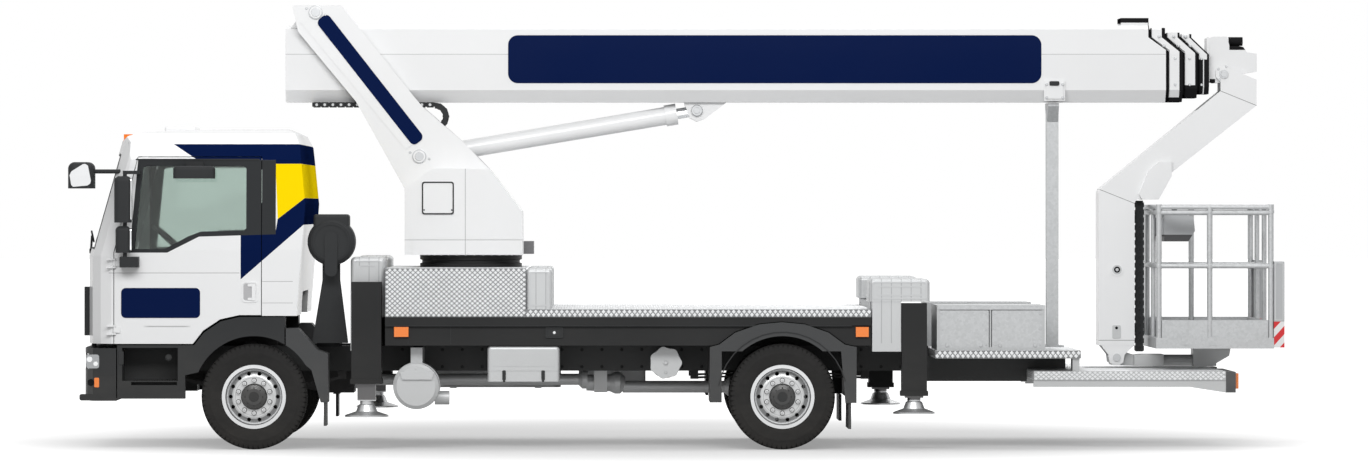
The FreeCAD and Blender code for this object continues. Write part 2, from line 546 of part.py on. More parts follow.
silencer = turned_y("silencer", "-1976", "477", [("-1095", "0"), ("-1095", "150"), ("-1080", "171"), ("-560", "171"),
                                                 ("-545", "150"), ("-545", "0")])
silencer_strap = turned_y("silencer_strap", "-1976", "477", [("-960", "165"), ("-960", "177"), ("-900", "177"), ("-900", "165")])
silencer_hanger = box("silencer_hanger", ("-2020", "-1932"), ("-960", "-rail_half - 0.3"), ("640", "sub_low - 18"))
tail_pipe = rod("tail_pipe", "X", ("-900", "385"), ("-1840", "-1730"), "52")
fuel_tank = cover("fuel_tank", ("-1900", "-900"), ("rail_half + 60", "1060"), ("420", "740"), 60)
tank_straps = [box("tank_strap", (place, place + " + 50"), ("rail_half + 0.3", "1064"), ("416", "744"))
               for place in ("-1760", "-1100")]
battery_box = cover("battery_box", ("-760", "-240"), ("rail_half + 40", "980"), ("440", "740"), 20)
battery_bracket = box("battery_bracket", ("-700", "-300"), ("rail_half + 0.3", "rail_half + 60"), ("560", "700"))
valve_plate = turned_y("valve_plate", "-100", "649", [("-930", "0"), ("-930", "112"), ("-912", "116"), ("-912", "0")])
valve_block = box("valve_block", ("-180", "-20"), ("-913", "-rail_half - 0.3"), ("590", "710"))
node("tanks", group("tanks", join("silencer_whole", silencer, silencer_strap, silencer_hanger, tail_pipe),
                    join("fuel_tank_whole", fuel_tank, *tank_straps), join("battery", battery_box, battery_bracket),
                    join("valve", valve_plate, valve_block)))

# Air intake and cooler behind the cab
drum = turned_y("intake_drum", "-2620", "1560", [("-960", "0"), ("-960", "150"), ("-940", "178"), ("-690", "178"),
                                                 ("-670", "150"), ("-670", "0")])
drum_cap = cover("intake_cap", ("-2754", "-2486"), ("-950", "-680"), ("1680", "1768"), 24)
neck = slab("intake_neck", "Y", [("-2768", "796"), ("-2500", "796"), ("-2560", "1270"), ("-2560", "1440"),
                                 ("-2690", "1440"), ("-2690", "1270")], ("-850", "-720"))
intake_bracket = box("intake_bracket", ("-2740", "-2560"), ("-721", "-rail_half + 40"), ("rail_high + 0.3", "860"))
node("air_intake", join("air_intake", drum, drum_cap, neck, intake_bracket))


# Mudguards

def mudguard_rear():
    plate = slab("guard_rear", "Y", GUARD, ("-deck_half - 4", "-560"))
    bore = rod("guard_bore", "Y", ("rear_axle_x", "tyre_radius"), ("-1200", "-500"), "arch_radius")
    inside = slab("guard_inside", "Y", [
        ("250", "300"), ("1310", "300"), ("1310", "760"), ("1226", "778"), ("1108", "864"), ("934", "924"),
        ("770", "940"), ("606", "924"), ("432", "864"), ("314", "778"), ("250", "760")],
        ("-deck_half + 24", "-540"))
    return cut("guard_rear_whole", plate, bore, inside)


def mudguard_front():
    outer = [("front_axle_x + 240", "760"), ("front_axle_x + 240", "912"), ("-2860", "912"), ("-2712", "748"),
             ("-2636", "722"), ("-2636", "356"), ("-2690", "356"), ("-2760", "600")]
    plate = slab("guard_front", "Y", outer, ("-body_half", "-860"))
    bore = rod("guard_front_bore", "Y", ("front_axle_x", "tyre_radius"), ("-1200", "-500"), "arch_radius")
    room = rod("guard_turn_room", "Y", ("front_axle_x", "tyre_radius"), ("-1040", "-500"), "arch_radius + 50")
    return cut("guard_front_whole", plate, bore, room)


rear_guard = mudguard_rear()
front_guard = mudguard_front()
rear_flap = box("rear_flap", ("1270", "1290"), ("-deck_half + 10", "-600"), ("156", "360"))
front_flap = box("front_flap", ("-2668", "-2648"), ("-body_half + 10", "-870"), ("180", "360"))
rear_stay = rod("rear_stay", "Y", ("300", "700"), ("-deck_half + 20", "-rail_half - 0.3"), "20")
rear_stay_two = rod("rear_stay", "Y", ("1260", "700"), ("-deck_half + 20", "-rail_half - 0.3"), "20")
front_stay = rod("front_stay", "Y", ("-2680", "660"), ("-900", "-rail_half - 0.3"), "22")
guards = group("guards", join("rear_guard", rear_guard, rear_flap, rear_stay, rear_stay_two),
               join("front_guard", front_guard, front_flap, front_stay))
node("mudguards", both("mudguards", guards))

# Bumper and lamps
bumper_plan = slab("bumper_plan", "Z", [
    ("-4225", "-body_half"), ("-4400", "-body_half"), ("-4452", "-1000"), ("-4482", "-800"), ("-4496", "-400"),
    ("-4500", "0"), ("-4496", "400"), ("-4482", "800"), ("-4452", "1000"), ("-4400", "body_half"),
    ("-4225", "body_half")], ("368", "762"))
bumper_hollow = slab("bumper_hollow", "Z", [
    ("-4224", "-1060"), ("-4380", "-1060"), ("-4432", "-760"), ("-4440", "0"), ("-4432", "760"), ("-4380", "1060"),
    ("-4224", "1060")], ("400", "763"))
lamp_cut = box("lamp_cut", ("-4520", "-4388"), ("-1040", "-760"), ("604", "724"))
bumper_bracket = box("bumper_bracket", ("-4445", "frame_front - seat_gap"), ("-rail_half + 2", "-rail_half + 62"), ("600", "720"))
tilt_room = box("tilt_room", ("cab_tilt_x - 40", "cab_tilt_x + 40"), ("386", "410"), ("735", "800"))
tilt_pins = [box("tilt_cheek", ("cab_tilt_x - 16", "cab_tilt_x + 16"), (low, high), ("640", "cab_tilt_z + 14"))
             for low, high in (("370", "385"), ("411", "426"))]
tilt_pins.append(rod("tilt_pin", "Y", ("cab_tilt_x", "cab_tilt_z"), ("370", "426"), "tilt_pin"))
tilt_side = join("tilt_side", *tilt_pins)
shell = cut("bumper_shell", bumper_plan, bumper_hollow, lamp_cut, flip("lamp_cut_right", lamp_cut), tilt_room,
            flip("tilt_room_left", tilt_room))
node("bumper", join("bumper", shell, bumper_bracket, flip("bumper_bracket_right", bumper_bracket), tilt_side,
                    flip("tilt_side_left", tilt_side)))
head_lamp = slab("head_lamp", "Z", [("-4438", "-1039.7"), ("-4474", "-760.3"), ("-4436", "-760.3"),
                                   ("-4398", "-1039.7")], ("604.3", "723.7"))
side_lamp = box("side_lamp", ("-2140", "-2032"), ("-sub_half - 22", "-sub_half - seat_gap"), ("848", "922"))
side_lamp_rear = box("side_lamp", ("1325", "1421"), ("-sub_half - 22", "-sub_half - seat_gap"), ("848", "922"))
rear_lamp = box("rear_lamp", ("wing_cap_rear + 0.3", "wing_cap_rear + 24"), ("-deck_half + 30", "-deck_half + 330"),
                ("458", "574"))
node("lamps", both("lamps", group("lamps_left", head_lamp, side_lamp, side_lamp_rear, rear_lamp)))


# Cab

def cab_form(name, inset):
    """The cab's outer form, or the same form drawn in by inset on every side."""
    side = slab(name + "_side", "Y", [
        ("-4470 + %s" % inset, "cab_low + %s" % inset), ("-4478 + %s" % inset, "1440"),
        ("-4462 + 1.03*%s" % inset, "1472"), ("-4236 + 1.04*%s" % inset, "2250"),
        ("-4214 + %s" % inset, "2314 - 0.4*%s" % inset), ("-4140 + 0.6*%s" % inset, "2360 - 0.8*%s" % inset),
        ("-3990", "2390 - %s" % inset), ("-3550", "2414 - %s" % inset), ("-2977", "2418 - %s" % inset),
        ("-2890 - 0.5*%s" % inset, "2372 - 0.8*%s" % inset), ("-2850 - %s" % inset, "2284 - 0.3*%s" % inset),
        ("-2808 - %s" % inset, "1845"), ("-2868 - %s" % inset, "1080"), ("-2876 - %s" % inset, "cab_low + %s" % inset)],
        ("-cab_half - 20", "cab_half + 20"))
    section = slab(name + "_section", "X", [
        ("-cab_half + %s" % inset, "cab_low + %s - 1" % inset), ("cab_half - %s" % inset, "cab_low + %s - 1" % inset),
        ("cab_half - %s" % inset, "1500"), ("cab_half - 48 - %s" % inset, "2180"),
        ("cab_half - 88 - 0.8*%s" % inset, "2310 - 0.4*%s" % inset),
        ("cab_half - 190 - 0.5*%s" % inset, "2378 - 0.9*%s" % inset), ("700", "2404 - %s" % inset),
        ("0", "2424 - %s" % inset), ("-700", "2404 - %s" % inset),
        ("-cab_half + 190 + 0.5*%s" % inset, "2378 - 0.9*%s" % inset),
        ("-cab_half + 88 + 0.8*%s" % inset, "2310 - 0.4*%s" % inset),
        ("-cab_half + 48 + %s" % inset, "2180"), ("-cab_half + %s" % inset, "1500")], ("-4600", "-2700"))
    plan_points = [
        ("-4480 + %s" % inset, "0"), ("-4474 + %s" % inset, "-420"), ("-4454 + %s" % inset, "-760"),
        ("-4414 + %s" % inset, "-960 + 0.3*%s" % inset), ("-4346 + 0.7*%s" % inset, "-cab_half + 60 + 0.7*%s" % inset),
        ("-4262 + 0.3*%s" % inset, "-cab_half + 10 + %s" % inset), ("-4180", "-cab_half + %s" % inset),
        ("-2700", "-cab_half + %s" % inset), ("-2700", "cab_half - %s" % inset), ("-4180", "cab_half - %s" % inset),
        ("-4262 + 0.3*%s" % inset, "cab_half - 10 - %s" % inset),
        ("-4346 + 0.7*%s" % inset, "cab_half - 60 - 0.7*%s" % inset), ("-4414 + %s" % inset, "960 - 0.3*%s" % inset),
        ("-4454 + %s" % inset, "760"), ("-4474 + %s" % inset, "420")]
    lower = slab(name + "_plan", "Z", plan_points, ("cab_low - 10", "1456"))
    upper = slab(name + "_plan_upper", "Z", plan_points, ("1456", "2480"))
    upper.Dir = Vector(0.2879, 0, 1)
    plan = join(name + "_plan_whole", lower, upper)
    rear = box(name + "_rear", ("-4000", "-2808 - %s" % inset), ("-cab_half + %s" % inset, "cab_half - %s" % inset),
               ("cab_low + %s" % inset, "2440"))
    return common(name + "_form", side, section, join(name + "_plan_all", plan, rear))


DOOR = [("door_front", "cab_low"), ("door_front", "1480"), ("-4062", "2196"), ("door_rear", "2196"),
        ("door_rear", "1012"), ("-3302", "1012"), ("-3445", "980"), ("-3572", "896"), ("-3650", "cab_low")]
WINDOW = [("-4088", "1508"), ("-4026", "2120"), ("-3990", "2132"), ("-3270", "2132"), ("-3250", "2112"),
          ("-3250", "1660"), ("-3270", "1646"), ("-3590", "1638"), ("-3690", "1600"), ("-3780", "1550"),
          ("-3860", "1508")]
ARCH = [("-3650", "700"), ("-3650", "cab_low"), ("-3572", "890"), ("-3445", "974"), ("-3302", "1006"),
        ("-2700", "1006"), ("-2700", "700")]

outer_form = cab_form("cab_outer", "0")
inner_form = cab_form("cab_inner", "cab_wall")
arch_cut = slab("arch_cut", "Y", ARCH, ("-1200", "1200"))
arch_wall = grown("arch_wall", "Y", ARCH, ("-1200", "1200"), "cab_wall")
tunnel = box("tunnel", ("-4416", "-2700"), ("-tunnel_half", "tunnel_half"), ("700", "tunnel_top"))
tunnel_wall = box("tunnel_wall", ("-4500", "-2700"), ("-tunnel_half - cab_wall", "tunnel_half + cab_wall"),
                  ("700", "tunnel_top + cab_wall"))
cavity = cut("cab_cavity", inner_form, arch_wall, tunnel_wall)
whole_shell = cut("cab_whole", outer_form, cavity, arch_cut, tunnel)


def door_space(name, reach):
    """The space of a left door, grown by reach, above the sill."""
    prism = (slab(name, "Y", DOOR, ("-1220", "-900")) if reach == "0"
             else grown(name, "Y", DOOR, ("-1220", "-900"), reach))
    inner = "-cab_half + cab_wall + 4 + " + reach
    sill = box(name + "_sill", ("-4500", "-2900"), (inner, "-800"), ("700", "cab_low + cab_wall + 12 - " + reach))
    arch_sill = box(name + "_arch_sill", ("-3720", "-2900"), (inner, "-800"), ("700", "1090 - " + reach))
    return cut(name + "_space", prism, sill, arch_sill)


window_left = slab("window", "Y", WINDOW, ("-1240", "-900"))
SCREEN = [("-952", "1510"), ("952", "1510"), ("960", "1540"), ("912", "2200"), ("880", "2226"), ("-880", "2226"),
          ("-912", "2200"), ("-960", "1540")]
windscreen = slab("windscreen", "X", SCREEN, ("-4600", "-3980"))
HINGES = ("880", "1380")
hinge_at = ("hinge_x", "-hinge_y")
hinge_notches = [rod("hinge_notch", "Z", hinge_at, (z + " - 22", z + " + 62"), "hinge_boss + 3") for z in HINGES]
hinge_rooms = [rod("hinge_room", "Z", hinge_at, (z + " - 2", z + " + 42"), "hinge_boss + 5") for z in HINGES]
bosses = [join("hinge_leaf", rod("hinge_boss", "Z", hinge_at, (z, z + " + 40"), "hinge_boss"),
               box("hinge_web", ("hinge_x", "hinge_x + 42"), ("-hinge_y - 7", "-hinge_y + 16"), (z, z + " + 40")))
          for z in HINGES]
boss_bores = [rod("hinge_bore", "Z", hinge_at, (z + " - 1", z + " + 41"), "hinge_pin + pin_slack") for z in HINGES]
lugs = []
for z in HINGES:
    for low, high in ((z + " - 16", z + " - 4"), (z + " + 44", z + " + 56")):
        lugs.append(rod("hinge_lug", "Z", hinge_at, (low, high), "hinge_boss"))
        lugs.append(box("hinge_arm", ("hinge_x - 60", "hinge_x - 12"), ("-hinge_y - 9", "-hinge_y + 40"), (low, high)))
        lugs.append(box("hinge_tip", ("hinge_x - 14", "hinge_x"), ("-hinge_y - 9", "-hinge_y + 9"), (low, high)))
    lugs.append(rod("hinge_pin", "Z", hinge_at, (z + " - 16", z + " + 56"), "hinge_pin"))
hinge_left = join("hinge_left", *lugs)
door_panel = cut("door_panel", common("door_common", whole_shell, door_space("door", "0")), window_left,
                 *hinge_notches)
door_left = cut("door_whole", join("door_with_bosses", door_panel, *bosses), *boss_bores)
opening = door_space("door_opening", "door_gap")
cab_body = cut("cab_body", whole_shell, opening, flip("opening_right", opening), windscreen, *hinge_rooms,
               *[flip("hinge_room_right", room) for room in hinge_rooms])
node("door_left", door_left)
node("door_right", flip("door_right", door_left))
glass_layer = cut("glass_layer", cab_form("glass_outer", "glass_in"), cab_form("glass_inner", "glass_in + glass_sheet"))
window_pane = grown("window_pane", "Y", WINDOW, ("-1240", "-900"), "-seat_gap")
door_glass = common("door_glass", glass_layer, window_pane)
node("door_glass_left", door_glass)
node("door_glass_right", flip("door_glass_right", door_glass))
screen_pane = grown("screen_pane", "X", SCREEN, ("-4600", "-3980"), "-seat_gap")
node("windscreen", common("windscreen_glass", glass_layer, screen_pane))

# Cab trim: arch liners, entrance steps, grille, front mirror
liner = slab("liner", "Y", [("-3708", "560"), ("-3708", "786"), ("-3640", "786"), ("-3566", "880"), ("-3441", "964"),
                            ("-3300", "997"), ("-2962", "997"), ("-2962", "760"), ("-3100", "700")],
             ("-body_half", "-860"))
liner_seat = slab("liner_seat", "Y", [("-3440", "940"), ("-3300", "1005.7"), ("-2962", "1005.7"), ("-2962", "900")],
                  ("-1038", "-860"))
liner_bore = rod("liner_bore", "Y", ("front_axle_x", "tyre_radius"), ("-1200", "-800"), "arch_radius")
liner_room = rod("liner_turn_room", "Y", ("front_axle_x", "tyre_radius"), ("-1040", "-800"), "arch_radius + 50")
step_block = box("step_block", ("-4217", "-3708"), ("-body_half", "-740"), ("384", "786"))
step_relief = box("step_relief", ("-3746", "-3700"), ("-1040", "-730"), ("380", "790"))
step_recess = slab("step_recess", "Y", [("-4180", "518"), ("-3762", "518"), ("-3762", "766"), ("-4180", "766")],
                   ("-1200", "-870"))
step_slot = box("step_slot", ("-4112", "-3768"), ("-1200", "-1060"), ("486", "510"))
step_seat = box("step_seat", ("-4210", "-3750"), ("-1038", "-745"), ("785", "cab_low - seat_gap"))
steps_left = join("steps", cut("liner_cut", join("liner_solid", liner, liner_seat), liner_bore, liner_room),
                  cut("step_cut", step_block, step_relief, step_recess, step_slot), step_seat)
grille_bars = [box("grille_bar", ("-4494", "-4440"), ("-700", "700"), (str(z), str(z + 44)))
               for z in (860, 936, 1012, 1088, 1164)]
grille_frame = [box("grille_side", ("-4498", "-4436"), (low, high), ("850", "1220"))
                for low, high in (("-716", "-690"), ("-12", "12"), ("690", "716"))]
mirror_front = cover("mirror_front", ("-half_length", "-4398"), ("-1110", "-860"), ("1962", "2160"), 50)
mirror_arm = rod("mirror_arm", "X", ("-985", "2090"), ("-4399", "-4190"), "16")
hatch = cover("roof_hatch", ("-3925", "-3690"), ("-260", "260"), ("2390", "2438"), 16)
marker = box("marker", ("-4190", "-4130"), ("-830", "-730"), ("2320", "2372"))
tilt_lugs = []
for low, high in (("390", "406"), ("-406", "-390")):
    eye = rod("tilt_eye", "Y", ("cab_tilt_x", "cab_tilt_z"), (low, high), "2*tilt_pin")
    neck = box("tilt_neck", ("cab_tilt_x - 16", "cab_tilt_x + 20"), (low, high), ("cab_tilt_z", "cab_low + 2"))
    bore = rod("tilt_bore", "Y", ("cab_tilt_x", "cab_tilt_z"), ("-420", "420"), "tilt_pin + pin_slack")
    tilt_lugs.append(cut("tilt_lug", join("tilt_lug_solid", eye, neck), bore))
node("cab_shell", join("cab_shell", cab_body, hatch, marker, flip("marker_right", marker), hinge_left,
                       flip("hinge_right", hinge_left), *tilt_lugs))
skin = cab_form("cab_skin", "(-seat_gap)")
node("cab_trim", group("cab_trim", both("steps_both", steps_left),
                       cut("grille", join("grille_solid", *grille_bars, *grille_frame), skin),
                       cut("front_mirror", join("front_mirror_solid", mirror_front, mirror_arm), skin)))


def seat(side):
    """One seat with its plinth, cushion, backrest and head restraint."""
    low, high = ("-960", "-510") if side < 0 else ("510", "960")
    plinth = slab("seat_plinth", "Y", [("-3620", "1240"), ("-3200", "1240"), ("-3220", "1066.3"), ("-3600", "1066.3")],
                  (low + " + 40", high + " - 40"))
    cushion = slab("seat_cushion", "Y", [
        ("-3700", "1240"), ("-3180", "1236"), ("-3150", "1330"), ("-3200", "1362"), ("-3640", "1376"),
        ("-3704", "1350"), ("-3716", "1290")], (low, high))
    back = slab("seat_back", "Y", [
        ("-3230", "1300"), ("-3110", "1300"), ("-2970", "1900"), ("-2990", "1950"), ("-3070", "1950"),
        ("-3120", "1880"), ("-3200", "1560"), ("-3260", "1420")], (low + " + 15", high + " - 15"))
    head = slab("seat_head", "Y", [("-3050", "1940"), ("-2966", "1940"), ("-2950", "2120"), ("-3040", "2120")],
                (low + " + 90", high + " - 90"))
    return join("seat", plinth, cushion, back, head)


dash = slab("dash", "Y", [
    ("-4404", "1240.3"), ("-4140", "1240.3"), ("-4090", "1300"), ("-4070", "1420"), ("-4110", "1468"),
    ("-4290", "1486"), ("-4388", "1480")], ("-1020", "1020"))
dash = common("dash_common", dash, cab_form("dash_form", "(cab_wall + 8)"))
column = slab("steering_column", "Y", [("-4190", "1300"), ("-4150", "1260"), ("-3900", "1500"), ("-3930", "1540")],
              ("700", "770"))
steering_wheel = doc.addObject("Part::Torus", "steering_wheel")
steering_wheel.Radius1 = 205
steering_wheel.Radius2 = 16
steering_wheel.Placement = Placement(Vector(-3925, 735, 1535), Rotation(Vector(0, 1, 0), 42))
spoke = slab("wheel_spoke", "Y", [("-4081", "1676"), ("-4070", "1688"), ("-3769", "1394"), ("-3780", "1382")],
             ("715", "755"))
node("cab_interior", group("cab_interior", seat(-1), seat(1), join("dash_and_wheel", dash, column, steering_wheel, spoke)))

# Door mirrors
mirror_glass = cover("door_mirror", ("-4229", "-4100"), ("-half_width", "-1160"), ("1706", "2054"), 40)
mirror_wide = cover("door_mirror_wide", ("-4220", "-4110"), ("-1262", "-1165"), ("1480", "1680"), 34)
mirror_tube = rod("mirror_tube", "Z", ("-4150", "-1215"), ("1392", "2092"), "15")
mirror_high = box("mirror_high", ("-4165", "-4045"), ("-1228", "-1202"), ("2068", "2094"))
mirror_root = box("mirror_root", ("-4075", "-4045"), ("-1203", "-1070.3"), ("2068", "2094"))
mirror_low = box("mirror_low", ("-4190", "-4050"), ("-1230", "-cab_half - seat_gap"), ("1370", "1450"))
mirror_left = join("mirror_left", mirror_glass, mirror_wide, mirror_tube, mirror_high, mirror_root, mirror_low)
kerb_mirror = cover("kerb_mirror", ("-3790", "-3480"), ("-1236", "-1096"), ("2036", "2130"), 30)
kerb_bracket = box("kerb_bracket", ("-3700", "-3570"), ("-1120", "-1065.5"), ("2136", "2160"))
kerb_drop = box("kerb_drop", ("-3700", "-3570"), ("-1128", "-1102"), ("2100", "2160"))
node("mirrors_left", group("mirrors_left", mirror_left, join("kerb", kerb_mirror, kerb_bracket, kerb_drop)))
node("mirrors_right", flip("mirrors_right", mirror_left))


# Slewing turret and tower

ring = turned("slew_ring", "Z", ("slew_x", "0"), [
    ("riser_top + seat_gap", "300"), ("riser_top + seat_gap", "ring_radius"), ("1392", "ring_radius"),
    ("1396", "ring_radius - 16"), ("1416", "ring_radius - 16"), ("1420", "ring_radius"),
    ("ring_top", "ring_radius"), ("ring_top", "300")])
node("slew_ring", ring)
HOUSING = [("turret_front", "turret_low"), ("turret_rear", "turret_low"), ("turret_rear - 6", "1792"),
           ("-1438", "turret_top"), ("-1872", "turret_top + 6"), ("turret_front", "1959")]
housing = slab("housing", "Y", HOUSING, ("-turret_half", "turret_half"))
housing_space = grown("housing_space", "Y", HOUSING, ("-turret_half + 8", "turret_half - 8"), "-8")
hatch_left = slab("turret_hatch", "Y", [("-1955", "1790"), ("-1930", "1764"), ("-1730", "1764"), ("-1706", "1790"),
                                        ("-1706", "2018"), ("-1955", "2018")], ("-turret_half - 5", "-turret_half + 1"))
skirt = box("turret_skirt", ("turret_front + 60", "turret_rear - 16"), ("-turret_half - 9", "turret_half + 9"),
            ("turret_low", "1572"))
skirt_space = box("turret_skirt_space", ("turret_front + 68", "turret_rear - 24"), ("-turret_half - 1", "turret_half + 1"),
                  ("turret_low - 1", "1573"))
valve_box = box("valve_box", ("turret_rear - 7", "-1100"), ("-300", "-60"), ("1464", "1562"))
spigot = turned("turret_spigot", "Z", ("slew_x", "0"), [
    ("1390", "200"), ("1390", "300 - seat_gap"), ("turret_low + 4", "300 - seat_gap"), ("turret_low + 4", "200")])
node("turret_housing", join("turret_housing", cut("housing_shell", housing, housing_space), spigot, hatch_left,
                            flip("hatch_right", hatch_left), cut("skirt_shell", skirt, skirt_space), valve_box))

FORK = [("-2951", "3367"), ("-2577", "3367"), ("-2400", "3146"), ("-2013", "2661"), ("-1947", "2585"),
        ("-1632", "2311"), ("-1441", "turret_top + 0.4"), ("-1872", "turret_top + 6.4"), ("-2084", "1959.4"),
        ("-2089", "1960"), ("-2463", "2631"), ("-2905", "3165")]
fork_plate = slab("fork_plate", "Y", FORK, ("-fork_inner - fork_plate", "-fork_inner"))
fork_rim = slab("fork_rim", "Y", [("-2428", "2568"), ("-2088", "1966"), ("-2056", "1984"), ("-2386", "2568")],
                ("-fork_inner - 1", "fork_inner + 1"))
fork_base = slab("fork_base", "Y", [("-2086", "1964"), ("-1872", "turret_top + 6.4"), ("-1470", "turret_top + 1"),
                                    ("-1470", "turret_top + 20"), ("-1880", "turret_top + 20"),
                                    ("-2080", "1990")], ("-fork_inner - 1", "fork_inner + 1"))
fork_left = slab("fork_panel", "Y", [("-2890", "3240"), ("-2820", "3282"), ("-2000", "2320"), ("-2080", "2262")],
                 ("-fork_inner - fork_plate - 4", "-fork_inner - fork_plate + 1"))
lift_axle = rod("lift_axle", "Y", ("lift_x", "lift_z"), ("-fork_inner - fork_plate - 16", "fork_inner + fork_plate + 16"),
                "lift_pin")
cyl_axle = rod("cylinder_axle", "Y", ("cyl_x", "cyl_z"), ("-fork_inner - fork_plate - 14", "fork_inner + fork_plate + 14"),
               "lift_pin")
node("tower_fork", join("tower_fork", fork_plate, flip("fork_plate_right", fork_plate), fork_rim, fork_base,
                        fork_left, flip("fork_panel_right", fork_left), lift_axle, cyl_axle))

# Lift cylinder, drawn along X from its base pin and then turned about that pin

def laid(name, piece):
    """A piece drawn along X from the origin, laid on the cylinder's line at rest."""
    piece.Placement = Placement(Vector(), Rotation(Vector(0, -1, 0), 10))
    tie(piece, "Placement.Base.x", "cyl_x")
    tie(piece, "Placement.Base.z", "cyl_z")
    tie(piece, "Placement.Rotation.Angle", "atan2(eye_z - cyl_z; eye_x - cyl_x)")
    return piece


REACH = "sqrt((eye_x - cyl_x)^2 + (eye_z - cyl_z)^2)"
barrel_tube = turned("barrel_tube", "X", ("0", "0"), [
    ("60", "0"), ("60", "cyl_radius"), ("barrel_length - 90", "cyl_radius"), ("barrel_length - 90", "cyl_radius + 12"),
    ("barrel_length", "cyl_radius + 12"), ("barrel_length", "piston_rod + 6"), ("barrel_length - 60", "piston_rod + 6"),
    ("barrel_length - 60", "cyl_bore"), ("130", "cyl_bore"), ("130", "0")])
barrel_eye = rod("barrel_eye", "Y", ("0", "0"), ("-80", "80"), "lift_pin + 38")
barrel_bore = rod("barrel_bore", "Y", ("0", "0"), ("-90", "90"), "lift_pin + pin_slack")
node("lift_barrel", laid("lift_barrel", cut("lift_barrel", join("barrel_solid", barrel_tube, barrel_eye), barrel_bore)))
piston = turned("piston", "X", ("0", "0"), [
    ("150", "0"), ("150", "cyl_bore - 6"), ("230", "cyl_bore - 6"), ("230", "piston_rod"),
    (REACH + " - 20", "piston_rod"), (REACH + " - 20", "0")])
rod_eye = rod("rod_eye", "Y", ("0", "0"), ("-38", "38"), "eye_pin + 30")
tie(rod_eye, "Placement.Base.x", REACH)
rod_bore = rod("rod_bore", "Y", ("0", "0"), ("-60", "60"), "eye_pin + pin_slack")
tie(rod_bore, "Placement.Base.x", REACH)
node("lift_rod", laid("lift_rod", cut("lift_rod", join("rod_solid", piston, rod_eye), rod_bore)))


# Telescopic boom

def boom_section(name, inset, x):
    """A boom tube: flat sides, a narrower crown and a folded keel, drawn in by inset."""
    return slab(name, "X", [
        ("-130 + 0.45*(%s)" % inset, "boom_low + %s" % inset), ("130 - 0.45*(%s)" % inset, "boom_low + %s" % inset),
        ("boom_half - (%s)" % inset, "boom_low + 92 + 0.4*(%s)" % inset), ("boom_half - (%s)" % inset, "boom_top - 222"),
        ("boom_half - 14 - (%s)" % inset, "boom_top - 30 - 0.6*(%s)" % inset),
        ("boom_half - 44 - 0.8*(%s)" % inset, "boom_top - (%s)" % inset),
        ("-boom_half + 44 + 0.8*(%s)" % inset, "boom_top - (%s)" % inset),
        ("-boom_half + 14 + %s" % inset, "boom_top - 30 - 0.6*(%s)" % inset),
        ("-boom_half + (%s)" % inset, "boom_top - 222"), ("-boom_half + (%s)" % inset, "boom_low + 92 + 0.4*(%s)" % inset)], x)


def boom_tube(name, inset, rear, front):
    return cut(name, boom_section(name + "_out", inset, (rear, front)),
               boom_section(name + "_in", "%s + boom_wall" % inset, (rear + " - 1", front + " + 1")))


def slide_pad(name, inset, half, start):
    """A pad on a tube's floor that carries the next section."""
    return box(name, (start, start + " + 160"), ("-%s" % half, half),
               ("boom_low + %s + boom_wall - 1" % inset, "boom_low + %s + section_step - seat_gap" % inset))


def end_shape(name, shift, low, high, start):
    """Side profile of a slanted boom end; shift is how far in front of the first end it lies."""
    return slab(name, "Y", [
        (start, low), ("3748 + %s" % shift, low), ("3748 + %s" % shift, "3026 - 0.1*(%s)" % shift),
        ("3614 + %s" % shift, "3123"), ("3614 + %s" % shift, high), (start, high)], ("-260", "260"))


main_tube = common("main_tube", boom_tube("boom_main", "0", "boom_rear", "boom_front"),
                   end_shape("boom_end", "0", "2560", "3300", "boom_rear - 10"))
rear_plate = boom_section("boom_rear_plate", "4", ("boom_rear", "boom_rear + 10"))
ear = slab("boom_ear", "Y", [("-2960", "boom_top - 20"), ("-2870", "3330"), ("-2820", "3366"), ("-2725", "3366"),
                             ("-2670", "3320"), ("-2480", "boom_top - 20")], ("-186", "-140"))
ear_hole = rod("boom_ear_hole", "Y", ("lift_x", "lift_z"), ("-400", "400"), "lift_pin + pin_slack")
lug = slab("eye_lug", "Y", [("52", "boom_low + 4"), ("60", "2600"), ("96", "2506"), ("150", "2480"), ("210", "2500"),
                            ("383", "boom_low + 4")], ("-96", "-52"))
lug_stub = rod("eye_stub", "Y", ("eye_x", "eye_z"), ("-112", "-41"), "eye_pin")
guard = box("boom_guard", ("3400", "3612"), ("-150", "150"), ("boom_top - 2", "3272"))
guard_space = box("boom_guard_space", ("3390", "3620"), ("-142", "142"), ("boom_top + 1", "3262"))
cheek = box("clamp_cheek", ("2807", "2968"), ("-boom_half - 14", "-boom_half"), ("boom_low + 10", "2792"))
cheek_step = box("clamp_step", ("2822", "2952"), ("-boom_half - 26", "-boom_half - 13"), ("boom_low + 26", "2776"))
node("boom_outer", join("boom_outer", main_tube, rear_plate, slide_pad("boom_pad", "0", "96", "3420"),
                        cut("ear_left", ear, ear_hole), cut("ear_right", flip("ear_flip", ear), ear_hole),
                        lug, flip("lug_right", lug), lug_stub, flip("stub_right", lug_stub),
                        cut("boom_guard_shell", guard, guard_space), join("cheeks", cheek, cheek_step),
                        flip("cheeks_right", join("cheeks_two", cheek, cheek_step))))


